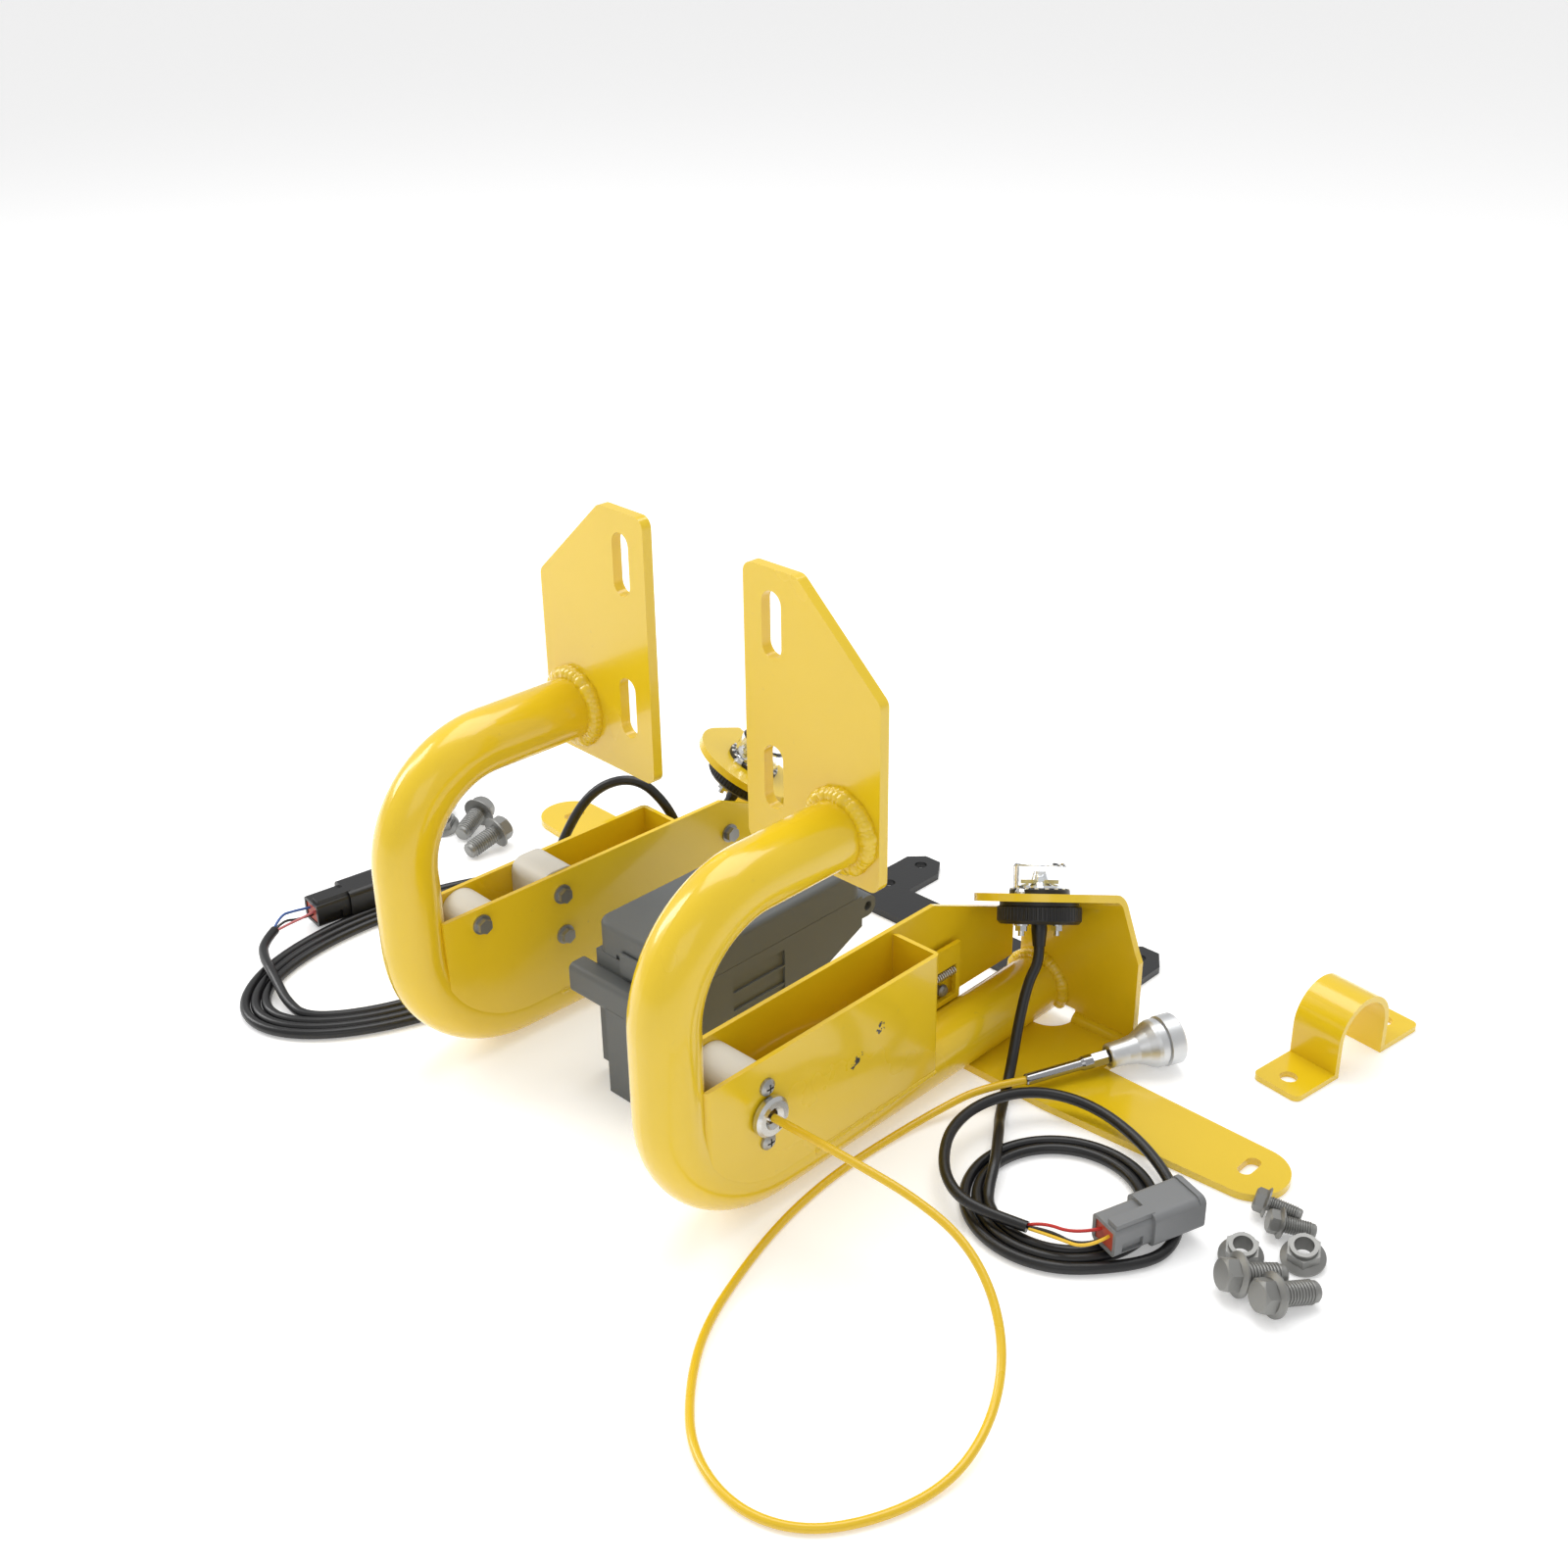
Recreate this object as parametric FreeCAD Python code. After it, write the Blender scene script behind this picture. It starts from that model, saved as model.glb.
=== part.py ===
"""Operator-guard kit for a lift platform console: two mirrored hook arms with beacons,
a trip cable with a magnetic end, a control box and the loose fixing hardware.

Working frame, millimetres: the right arm's tube lies in the plane x = 0, its front
upright on y = 0, and the surface that everything stands on is z = 0.  +Y runs along the
arms towards the beacons.  The finished kit is moved so that the origin is the bottom
centre of its solid pieces.
"""
import FreeCAD
import Part
import math
import os

V = FreeCAD.Vector

# ---------------------------------------------------------------- driving dimensions
TUBE_R = 20.0            # outer radius of the bent tube
TUBE_WALL = 3.0
TOP_LEG_Z = 211.5        # axis height of the upper leg
TOP_BEND = 67.0
LOW_BEND = 72.0
PLATE_Y = 137.6          # front face of the mounting plate
PLATE_T = 7.0
PLATE_X = (-74.0, 28.2)
PLATE_Z = (179.8, 353.0)
PLATE_CUT_X = -33.4      # where the plate's slanted corner begins along its top
PLATE_CUT_Z = 295.9
SLOT_X = -52.5
SLOT_Z = (226.0, 319.8)
SLOT_LONG = 40.0
SLOT_R = 7.5

SHEET_T = 3.0
WALL_X = 19.5            # outer faces of the channel's two walls
WALL_TOP = 108.0
SIDE_TOP = 111.0
CHANNEL_END = 204.0
WALL_FRONT = 10.0

BRACKET_T = 5.0
BRACKET_Y = 330.0        # front face of the upright of the beacon bracket
BRACKET_RIGHT = 76.5
FLOOR_PLATE = (242.0, 78.0)
STRAP_END = (200.0, 274.0)
STRAP_R = 23.5
FOLD_POINT = V(61.0, 330.0, 105.0)
FLANGE_R = 41.0
BEND_R = 7.0
FLANGE_STRAIGHT = 31.0
FLANGE_UP = V(-0.331, 0.381, 0.863)

BEACON_R = 26.6
BEACON_H = 14.0
LENS_R = 16.8
LENS_H = 16.0
SCREW_OFFSET = 17.0
BOOT_R = 5.0
BOOT_H = 14.0
LEAD_D = 6.8

GUIDE_Y, GUIDE_Z = 55.5, 71.5
TRIP_D = 5.0

LEFT_YAW = -1.9
LEFT_SHIFT = V(-240.6, 7.7, 0)

BOX_X = (-158.0, -80.0)
BOX_FRONT = 85.0
BOX_SEAM = 91.0
BOX_TOP = 113.0
HINGE = (249.5, 81.0)    # y and z of the lid's hinge pin

CLAMP_AT = V(173.0, 419.0, 0)
CLAMP_YAW = -7.0
CLAMP_T = 4.0
CLAMP_BORE = 21.5
CLAMP_AXIS_Z = 24.5
CLAMP_WIDTH = 35.0

GAP = 0.3                # clearance between pieces that only touch
HOME = V(119.4, -231.5, 0)   # moves the kit so that the origin is its bottom centre

# ---------------------------------------------------------------- cord routes
TRIP_ROUTE = [(24.6, 55.5, 71.5), (48, 57.5, 70.5), (80, 62, 66.5), (116, 69, 59), (150, 70, 50),
              (180, 59, 37), (204, 38, 22), (219, 8, 9), (224, -28, 3), (214, -66, 2.6),
              (192, -98, 2.6), (158, -110, 2.6), (118, -99, 2.6), (86, -70, 2.6), (60, -34, 2.6),
              (42, 14, 2.6), (30, 58, 2.6), (24, 104, 2.6), (25, 150, 2.7), (31, 192, 6),
              (42, 220, 13.2), (56.5, 244.5, 13.2)]
RIGHT_LEAD_ROUTE = [(31, 277, 59), (35, 264, 38), (41, 251, 18), (46, 241, 9.3), (51, 231, 4.4), (58, 219, 3.8),
                    (68, 205, 3.8)]
RIGHT_TAIL_ROUTE = [(119.8, 129, 11.8), (131, 131.5, 11.9), (142, 136.5, 12.3)]
LEFT_LEAD_ROUTE = [(27, 276, 56), (20, 255, 45), (9, 237, 51), (3, 223, 74), (6, 216, 105), (24, 202, 129),
                   (48, 181, 118), (60, 161, 80), (63, 148, 44), (63, 143, 16.8)]
LEFT_TAIL_ROUTE = [(-402, -29, 6), (-424, -15, 8), (-440, 6, 11), (-446, 28, 13.5)]
RIGHT_COIL = {"at": (134.0, 178.0), "outer": 66.0, "inner": 42.0, "low": 15.0, "high": 30.0}
LEFT_COIL = {"at": (-352.0, 92.0), "half_width": 76.0, "half_length": 140.0, "band": 34.0, "high": 17.0}


# ---------------------------------------------------------------- helpers
def box(x, y, z):
    """A block from three (low, high) pairs."""
    return Part.makeBox(x[1] - x[0], y[1] - y[0], z[1] - z[0], V(x[0], y[0], z[0]))


def rod(radius, start, direction, length):
    return Part.makeCylinder(radius, length, start, direction)


def plate(points, push):
    """A closed polygon of points pushed along a vector."""
    wire = Part.makePolygon(points + [points[0]])
    return Part.Face(wire).extrude(push)


def rounded(shape, radius, along):
    """Round the edges of a shape that run along one direction."""
    edges = []
    for edge in shape.Edges:
        if edge.Curve.TypeId == "Part::GeomLine":
            if abs(edge.tangentAt(edge.FirstParameter).dot(along)) > 0.999:
                edges.append(edge)
    return shape.makeFillet(radius, edges)


def slot_cutter(centre, radius, length, axis, along, depth):
    """A round-ended slot through a plate, as a solid to cut away."""
    half = length / 2.0 - radius
    low = centre - along * half - axis * depth
    high = centre + along * half - axis * depth
    side = axis.cross(along) * radius
    body = plate([low - side, high - side, high + side, low + side], axis * (2 * depth))
    return body.fuse([rod(radius, low, axis, 2 * depth), rod(radius, high, axis, 2 * depth)])


def revolve(profile, base, axis):
    """A closed (radius, height) profile turned about an axis that starts at base."""
    wire = Part.makePolygon([V(r, 0, h) for r, h in profile] + [V(profile[0][0], 0, profile[0][1])])
    solid = Part.Face(wire).revolve(V(0, 0, 0), V(0, 0, 1), 360)
    solid.Placement = FreeCAD.Placement(base, FreeCAD.Rotation(V(0, 0, 1), axis))
    return solid


def cord_tube(route, diameter, name):
    """Straight runs joined by tangent arcs, each arc as large as its two runs allow."""
    points = [V(*p) for p in route]
    edges = []
    radii = []
    start = points[0]
    for i in range(1, len(points) - 1):
        back = points[i - 1] - points[i]
        ahead = points[i + 1] - points[i]
        cut = 0.45 * min(back.Length, ahead.Length)
        back.normalize()
        ahead.normalize()
        turn = math.pi - back.getAngle(ahead)
        radii.append(cut / math.tan(turn / 2.0))
        first = points[i] + back * cut
        last = points[i] + ahead * cut
        bisector = (back + ahead).normalize()
        reach = radii[-1] / math.cos(turn / 2.0) - radii[-1]
        middle = points[i] + bisector * reach
        edges.append(Part.LineSegment(start, first).toShape())
        edges.append(Part.Arc(first, middle, last).toShape())
        start = last
    edges.append(Part.LineSegment(start, points[-1]).toShape())
    path = Part.Wire(edges)
    heading = points[1] - points[0]
    ring = Part.Wire([Part.Circle(points[0], heading, diameter / 2.0).toShape()])
    tube = path.makePipeShell([ring], True, True)
    expected = math.pi * diameter ** 2 / 4.0 * path.Length
    print(name, "length", round(path.Length, 1), "volume ratio", round(tube.Volume / expected, 4),
          "least radius", round(min(radii), 1))
    return tube


def to_left(shape):
    """The mirrored arm's place: mirror in x, turn a little, move beside the right arm."""
    copy = shape.mirror(V(0, 0, 0), V(1, 0, 0))
    copy.rotate(V(0, 0, 0), V(0, 0, 1), LEFT_YAW)
    copy.translate(LEFT_SHIFT)
    return copy


def left_point(point):
    """A point of the arm frame, in the left arm's place."""
    turned = FreeCAD.Rotation(V(0, 0, 1), LEFT_YAW).multVec(V(-point.x, point.y, point.z))
    return turned + LEFT_SHIFT


# ---------------------------------------------------------------- the hook arm
def hook_path():
    up = math.sqrt(0.5)
    top_centre = V(0, TOP_BEND, TOP_LEG_Z - TOP_BEND)
    low_centre = V(0, LOW_BEND, TUBE_R + LOW_BEND)
    top_arc = Part.Arc(V(0, TOP_BEND, TOP_LEG_Z), top_centre + V(0, -up, up) * TOP_BEND,
                       V(0, 0, TOP_LEG_Z - TOP_BEND))
    low_arc = Part.Arc(V(0, 0, TUBE_R + LOW_BEND), low_centre + V(0, -up, -up) * LOW_BEND,
                       V(0, LOW_BEND, TUBE_R))
    return Part.Wire([
        Part.LineSegment(V(0, PLATE_Y, TOP_LEG_Z), V(0, TOP_BEND, TOP_LEG_Z)).toShape(),
        top_arc.toShape(),
        Part.LineSegment(V(0, 0, TOP_LEG_Z - TOP_BEND), V(0, 0, TUBE_R + LOW_BEND)).toShape(),
        low_arc.toShape(),
        Part.LineSegment(V(0, LOW_BEND, TUBE_R), V(0, BRACKET_Y, TUBE_R)).toShape()])


def swept(radius):
    ring = Part.Wire([Part.Circle(V(0, PLATE_Y, TOP_LEG_Z), V(0, 1, 0), radius).toShape()])
    return hook_path().makePipeShell([ring], True, True)


def mount_plate():
    x0, x1 = PLATE_X
    z0, z1 = PLATE_Z
    y = PLATE_Y
    outline = [V(x0, y, z0), V(x1, y, z0), V(x1, y, PLATE_CUT_Z), V(PLATE_CUT_X, y, z1), V(x0, y, z1)]
    body = rounded(plate(outline, V(0, PLATE_T, 0)), 7.0, V(0, 1, 0))
    for z in SLOT_Z:
        body = body.cut(slot_cutter(V(SLOT_X, y + PLATE_T / 2, z), SLOT_R, SLOT_LONG, V(0, 1, 0), V(0, 0, 1), 10))
    return body


def side_plate(tube, screws):
    """Long inner wall: its top edge steps down under the beacon flange."""
    x = -WALL_X
    outline = [V(x, WALL_FRONT, SIDE_TOP), V(x, 12, 30), V(x, 72, 22), V(x, 262, 22), V(x, 268, 38),
               V(x, 322, 38), V(x, 322, 70), V(x, 312, 79), V(x, 240, SIDE_TOP)]
    body = plate(outline, V(SHEET_T, 0, 0)).cut(tube)
    body = max(body.Solids, key=lambda solid: solid.Volume)
    for y, z in screws:
        body = body.cut(rod(2.6, V(x - 1, y, z), V(1, 0, 0), 6))
    return body.cut(rod(2.3, V(x - 1, 245, 48), V(1, 0, 0), 6))


def channel_cover(tube):
    """Outer wall and rear end wall of the channel, bent from one sheet."""
    inner = -WALL_X + SHEET_T + GAP
    shell = box((inner, WALL_X), (WALL_FRONT, CHANNEL_END), (22, WALL_TOP))
    shell = rounded(shell, 4.0, V(0, 0, 1))
    hollow = box((inner - 10, WALL_X - SHEET_T), (WALL_FRONT - 10, CHANNEL_END - SHEET_T), (0, 200))
    body = shell.cut(hollow).cut(tube)
    body = body.cut(box((-5.5, WALL_X - 1), (CHANNEL_END - 10, CHANNEL_END + 5), (0, 36)))
    body = max(body.Solids, key=lambda solid: solid.Volume)
    body = body.cut(rod(3.0, V(-12, CHANNEL_END - 10, 62), V(0, 1, 0), 20))
    return body.cut(rod(9.2, V(10, GUIDE_Y, GUIDE_Z), V(1, 0, 0), 20))


# the beacon flange's own directions: along the fold, out from it, and up from its face
FOLD_DIR = V(0, 1, 0).cross(FLANGE_UP).normalize()
OUT_DIR = FOLD_DIR.cross(FLANGE_UP).normalize()


def flange_point(along, out, up):
    """A point by its place on the flange, from the beacon's centre on the lower face."""
    centre = FOLD_POINT - FOLD_DIR * FLANGE_R + OUT_DIR * FLANGE_STRAIGHT
    return centre + FOLD_DIR * along + OUT_DIR * out + FLANGE_UP * up


def fold_bend(edge_end, t):
    """The round bend between wall and flange, and the corner that it takes the place of."""
    back = V(0, 1, 0)
    up = V(FLANGE_UP).normalize()
    share = 1.0 / (1.0 + back.dot(up))
    axis = edge_end - (back + up) * (BEND_R * share)
    reach = BEND_R + t + 6.0
    kite = [axis, axis + back * reach, axis + (back + up) * (reach * share), axis + up * reach]
    space = plate([point - FOLD_DIR for point in kite], FOLD_DIR * (2 * FLANGE_R + 2))
    length = 2 * FLANGE_R
    shell = rod(BEND_R + t, axis, FOLD_DIR, length).cut(rod(BEND_R, axis, FOLD_DIR, length))
    return shell.common(plate(kite, FOLD_DIR * length)), space


def beacon_bracket(tube):
    t = BRACKET_T
    edge_end = FOLD_POINT - FOLD_DIR * (2 * FLANGE_R)
    down = V(0.358, 0, -0.934)
    knee = FOLD_POINT + down * 34.0
    wall = plate([V(edge_end.x, BRACKET_Y, t), V(BRACKET_RIGHT, BRACKET_Y, t), V(BRACKET_RIGHT, BRACKET_Y, 66),
                  knee, FOLD_POINT, edge_end], V(0, t, 0))
    base = [flange_point(s * FLANGE_R, o, 0) for s, o in ((-1, -FLANGE_STRAIGHT), (1, -FLANGE_STRAIGHT), (1, 0), (-1, 0))]
    flange = plate(base, FLANGE_UP * t).fuse(rod(FLANGE_R, flange_point(0, 0, 0), FLANGE_UP, t))
    top_bend, bend_space = fold_bend(edge_end, t)
    low_bend = rod(t, V(edge_end.x, BRACKET_Y, t), V(1, 0, 0), BRACKET_RIGHT - edge_end.x)
    front, right = FLOOR_PLATE
    sx, sy = STRAP_END
    floor = plate([V(6, front, 0), V(73, front, 0), V(sx, sy - STRAP_R, 0), V(sx, sy + STRAP_R, 0),
                   V(right, 298, 0), V(right, BRACKET_Y, 0), V(6, BRACKET_Y, 0)], V(0, 0, t))
    upper = wall.fuse(flange).cut(bend_space).fuse(top_bend)
    body = floor.fuse([rod(STRAP_R, V(sx, sy, 0), V(0, 0, 1), t), low_bend, upper])
    body = body.removeSplitter()
    body = body.cut(tube)
    body = body.cut(rod(17.5, V(14, 326, -1), V(0, 0, 1), 13))
    body = body.cut(slot_cutter(V(198, 276, 2), 4.5, 18, V(0, 0, 1), V(0, 1, 0), 8))
    body = body.cut(rod(BEACON_SPIGOT_R + GAP, flange_point(0, 0, -5), FLANGE_UP, 15))
    for side in (-1, 1):
        body = body.cut(rod(2.3, flange_point(0, side * SCREW_OFFSET, -5), FLANGE_UP, 15))
    return max(body.Solids, key=lambda solid: solid.Volume)


BEACON_SPIGOT_R = 13.5


def beacon_pieces(side):
    """The beacon: a ribbed base under the flange, a bezel, reflector and lens on top."""
    top = BRACKET_T
    base = revolve([(0, -BEACON_H), (BEACON_R - 2, -BEACON_H), (BEACON_R, -BEACON_H + 2), (BEACON_R, -3.2),
                    (BEACON_R - 1.6, -2.6), (BEACON_R - 1.6, 0), (BEACON_SPIGOT_R, 0), (BEACON_SPIGOT_R, top),
                    (0, top)], flange_point(0, 0, 0), FLANGE_UP)
    for turn in range(0, 360, 6):
        local = FreeCAD.Rotation(FLANGE_UP, turn).multVec(OUT_DIR) * (BEACON_R + 0.3)
        base = base.cut(rod(0.8, flange_point(0, 0, -BEACON_H + 2.5) + local, FLANGE_UP, 8))
    for sign in (-1, 1):
        base = base.cut(rod(2.15, flange_point(0, sign * SCREW_OFFSET, -20), FLANGE_UP, 30))
    bezel = revolve([(12, top), (19, top), (19, top + 2.4), (17.6, top + 3.4), (12, top + 3.4)],
                    flange_point(0, 0, 0), FLANGE_UP)
    for sign in (-1, 1):
        bezel = bezel.cut(rod(4.6, flange_point(0, sign * SCREW_OFFSET, top - 2), FLANGE_UP, 10))
    low = top + 3.4
    lens = revolve([(LENS_R, low), (LENS_R, low + LENS_H - 2), (LENS_R - 1.5, low + LENS_H), (0, low + LENS_H),
                    (0, low + LENS_H - 2.2), (LENS_R - 2.2, low + LENS_H - 2.2), (LENS_R - 2.2, low)],
                   flange_point(0, 0, 0), FLANGE_UP)
    reflector = revolve([(0, top), (11.5, top), (11.5, top + 3.4), (14.0, top + 3.6), (14.0, top + 5), (6, top + 7),
                         (4, top + 14), (0, top + 15)], flange_point(0, 0, 0), FLANGE_UP)
    screws = None
    nuts = None
    for sign in (-1, 1):
        seat = flange_point(0, sign * SCREW_OFFSET, top + 0.05)
        head = revolve([(0, 0), (4.2, 0), (4.2, 1.2), (3.0, 2.8), (0, 3.2)], seat, FLANGE_UP)
        shank = rod(2.0, seat - FLANGE_UP * 26.5, FLANGE_UP, 26.5)
        screw = head.fuse(shank)
        nut = Part.Face(Part.makePolygon([V(4.0 * math.cos(a), 4.0 * math.sin(a), 0)
                                          for a in [math.pi / 3 * k for k in range(7)]])).extrude(V(0, 0, 3.2))
        nut = nut.fuse(rod(4.6, V(0, 0, 3.2), V(0, 0, 1), 1.0)).cut(rod(2.0, V(0, 0, -1), V(0, 0, 1), 9))
        nut.Placement = FreeCAD.Placement(flange_point(0, sign * SCREW_OFFSET, -BEACON_H - 4.3),
                                          FreeCAD.Rotation(V(0, 0, 1), FLANGE_UP))
        screws = screw if screws is None else Part.makeCompound([screws, screw])
        nuts = nut if nuts is None else Part.makeCompound([nuts, nut])
    boot = revolve([(0, -BEACON_H - BOOT_H), (BOOT_R - 1.0, -BEACON_H - BOOT_H), (BOOT_R, -BEACON_H - 4),
                    (BOOT_R, -BEACON_H), (0, -BEACON_H)], flange_point(0, 0, 0), FLANGE_UP)
    pieces = {"beacon_base": base, "beacon_bezel": bezel, "beacon_lens": lens, "beacon_reflector": reflector,
              "beacon_screws": Part.makeCompound([screws, nuts]), "lead_boot": boot}
    return {side + "_" + name: shape for name, shape in pieces.items()}


def front_block():
    """Round nylon spacer between the walls, beside the front upright."""
    inner = WALL_X - SHEET_T - GAP
    body = rod(15.0, V(-inner, 46, 92), V(1, 0, 0), 2 * inner)
    return body.cut(rod(2.6, V(-30, 38, 99.9), V(1, 0, 0), 46))


def rear_block():
    """Tall nylon spacer with rounded corners, held by two screws."""
    inner = WALL_X - SHEET_T - GAP
    body = rounded(box((-inner, inner), (88, 116), (52, 112)), 9.0, V(1, 0, 0))
    for z in (65.6, 95.6):
        body = body.cut(rod(2.6, V(-30, 101, z), V(1, 0, 0), 46))
    return body


def side_screws(places):
    """Hex washer-head screws through the inner wall into the spacers."""
    solids = []
    for y, z in places:
        head = Part.Face(Part.makePolygon([V(5.2 * math.cos(a), 5.2 * math.sin(a), 0)
                                           for a in [math.pi / 3 * k for k in range(7)]])).extrude(V(0, 0, 4))
        head = head.fuse(rod(6.6, V(0, 0, -1.2), V(0, 0, 1), 1.2)).fuse(rod(2.5, V(0, 0, -18), V(0, 0, 1), 18))
        head.Placement = FreeCAD.Placement(V(-WALL_X - 1.2, y, z), FreeCAD.Rotation(V(0, 0, 1), V(-1, 0, 0)))
        solids.append(head)
    return Part.makeCompound(solids)


# the left arm has three screws more: two for its rear block and one near its end
SIDE_SCREWS = {"right": [(38.0, 99.9)],
               "left": [(38.0, 99.9), (101.0, 95.6), (101.0, 65.6), (246.5, 84.0)]}


def arm(side):
    """Every rigid piece that both arms share, in the right arm's place."""
    tube = swept(TUBE_R)
    screws = SIDE_SCREWS[side]
    pieces = {side + "_hook_tube": tube.cut(swept(TUBE_R - TUBE_WALL)),
              side + "_mount_plate": mount_plate(),
              side + "_side_plate": side_plate(tube, screws),
              side + "_channel_cover": channel_cover(tube),
              side + "_beacon_bracket": beacon_bracket(tube),
              side + "_front_block": front_block(),
              side + "_rear_block": rear_block(),
              side + "_side_screws": side_screws(screws)}
    pieces.update(beacon_pieces(side))
    return pieces


# ---------------------------------------------------------------- trip switch
def cable_guide():
    """Rolled-lip eyelet in the outer wall, open on one side so that a cable slips in."""
    x = WALL_X
    body = revolve([(4.6, -SHEET_T), (9.0, -SHEET_T), (9.0, 0.2), (11.0, 0.2), (12.6, 1.6), (12.6, 4.6),
                    (10.8, 6.4), (7.0, 6.4), (4.6, 4.0)], V(x, GUIDE_Y, GUIDE_Z), V(1, 0, 0))
    return body.cut(box((x - 10, x + 10), (GUIDE_Y + 3, GUIDE_Y + 14), (GUIDE_Z - 9, GUIDE_Z - 4.5)))


def guide_screws():
    solids = []
    for z in (GUIDE_Z + 18.5, GUIDE_Z - 18.5):
        head = revolve([(0, 0.2), (5.4, 0.2), (5.2, 1.6), (3.2, 3.1), (0, 3.6)], V(WALL_X, GUIDE_Y, z), V(1, 0, 0))
        cross = box((WALL_X + 1.6, WALL_X + 5), (GUIDE_Y - 2.8, GUIDE_Y + 2.8), (z - 0.55, z + 0.55))
        cross = cross.fuse(box((WALL_X + 1.6, WALL_X + 5), (GUIDE_Y - 0.55, GUIDE_Y + 0.55), (z - 2.8, z + 2.8)))
        solids.append(head.cut(cross))
    return Part.makeCompound(solids)


def pull_slider():
    """Flat slider that the trip cable pulls; its window holds the return spring."""
    body = plate([V(-13.5, 212, 38), V(-13.5, 260, 38), V(-13.5, 260, 79), V(-13.5, 212, 80)], V(3, 0, 0))
    return body.cut(box((-20, 0), (234, 256), (42, 64)))


def return_spring():
    """Coil spring along y in the slider's window."""
    radius = 2.6
    helix = Part.makeHelix(2.0, 20.5, radius)
    ring = Part.Wire([Part.Circle(V(radius, 0, 0), V(0, 1, 0), 0.55).toShape()])
    coil = Part.Wire(helix.Edges).makePipeShell([ring], True, True)
    coil.Placement = FreeCAD.Placement(V(-12, 234.5, 59.5), FreeCAD.Rotation(V(0, 0, 1), V(0, 1, 0)))
    return coil


def slider_screw():
    head = revolve([(0, 0), (4.2, 0), (4.2, 1.4), (3.0, 3.0), (0, 3.4)], V(-13.0, 245, 48), V(1, 0, 0))
    shank = rod(2.0, V(-24.0, 245, 48), V(1, 0, 0), 11.2)
    nut = rod(4.2, V(-23.2, 245, 48), V(1, 0, 0), 3.7)
    return head.fuse([shank, nut])


def pull_wire():
    """Inner wire from the eyelet through the channel to the slider."""
    return cord_tube([(24.2, 55.5, 71.5), (8, 56, 71), (-4, 60, 71), (-10.5, 71, 73), (-12, 88, 76),
                      (-12.2, 112, 77), (-12, 140, 72), (-12.2, 166, 65.5), (-12, 188, 62.6), (-12.1, 205.4, 62)],
                     2.6, "pull_wire")


MAGNET_AXIS = V(0.4175, 0.908, 0.041).normalize()
SLEEVE_START = V(56.5, 244.5, 13.2)


def on_magnet_axis(distance):
    return SLEEVE_START + MAGNET_AXIS * distance


def trip_end():
    """Crimped sleeve and hex stud on the cable, and the magnetic end that turns on it."""
    sleeve = revolve([(0, 0), (3.2, 0), (3.7, 0.8), (3.7, 38), (4.6, 40), (4.6, 46), (0, 46)],
                     SLEEVE_START, MAGNET_AXIS)
    hexagon = Part.Face(Part.makePolygon([V(5.0 * math.cos(a), 5.0 * math.sin(a), 0)
                                          for a in [math.pi / 3 * k for k in range(7)]])).extrude(V(0, 0, 11))
    stud = hexagon.fuse([rod(4.0, V(0, 0, 11), V(0, 0, 1), 12), rod(5.4, V(0, 0, 23), V(0, 0, 1), 3)])
    stud.Placement = FreeCAD.Placement(on_magnet_axis(46), FreeCAD.Rotation(V(0, 0, 1), MAGNET_AXIS))
    mouth = on_magnet_axis(57.5)
    cone = revolve([(6.2, 0.6), (6.8, 0), (7.6, 0.4), (8.0, 1.6), (8.4, 12), (9.6, 19), (12.2, 25), (14.8, 29.5),
                    (15.6, 32), (15.6, 36), (6.0, 36), (6.0, 10.0), (4.07, 10.0), (4.07, 1.6), (6.2, 1.6)],
                   mouth, MAGNET_AXIS)
    cup = revolve([(0, 36), (14.4, 36), (14.4, 37.4), (16.4, 38.2), (16.4, 47.5), (15.6, 48.5), (12.5, 48.5),
                   (12.5, 42), (0, 42)], mouth, MAGNET_AXIS)
    magnet = revolve([(0, 42), (12.3, 42), (12.3, 48.0), (0, 48.0)], mouth, MAGNET_AXIS)
    return {"cable_sleeve": sleeve, "swivel_stud": stud, "magnet_cone": cone, "magnet_cup": cup,
            "magnet_disc": magnet}


# ---------------------------------------------------------------- leads and connectors
def lead_start(route):
    """A lead leaves its boot along the beacon's axis, then follows its route."""
    mouth = flange_point(0, 0, -BEACON_H - BOOT_H)
    return [tuple(mouth), tuple(mouth - FLANGE_UP * 9.0 + V(0.4, 0, 0))] + route


def ring_coil(spec):
    """Loose round coil: an annulus with a sloping top, cut down where the plug lies on it."""
    at = V(spec["at"][0], spec["at"][1], 0)
    body = rod(spec["outer"], at, V(0, 0, 1), spec["high"]).cut(rod(spec["inner"], at, V(0, 0, 1), spec["high"]))
    tilt = (spec["high"] - spec["low"]) / (2 * spec["outer"])
    lid = box((-200, 200), (-200, 200), (0, 100))
    lid.Placement = FreeCAD.Placement(at + V(0, 0, (spec["high"] + spec["low"]) / 2),
                                      FreeCAD.Rotation(V(0, 0, 1), V(tilt, -0.7 * tilt, 1)))
    seat = box((120, 230), (90, 166), (8.2, 60)).fuse(box((170, 230), (90, 215), (7.6, 60)))
    return body.cut(lid).cut(seat)


def oval_coil(spec):
    """Long loose coil beside the left arm, cut down where the plug lies on it."""
    x, y = spec["at"]
    w, length, band = spec["half_width"], spec["half_length"], spec["band"]

    def oval(half_w, half_l):
        slab = box((x - half_w, x + half_w), (y - half_l, y + half_l), (0, spec["high"]))
        return rounded(slab, half_w - 0.5, V(0, 0, 1))
    seat = box((-470, -418), (42, 130), (2.6, 60))
    return oval(w, length).cut(oval(w - band, length - band)).cut(seat)


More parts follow.
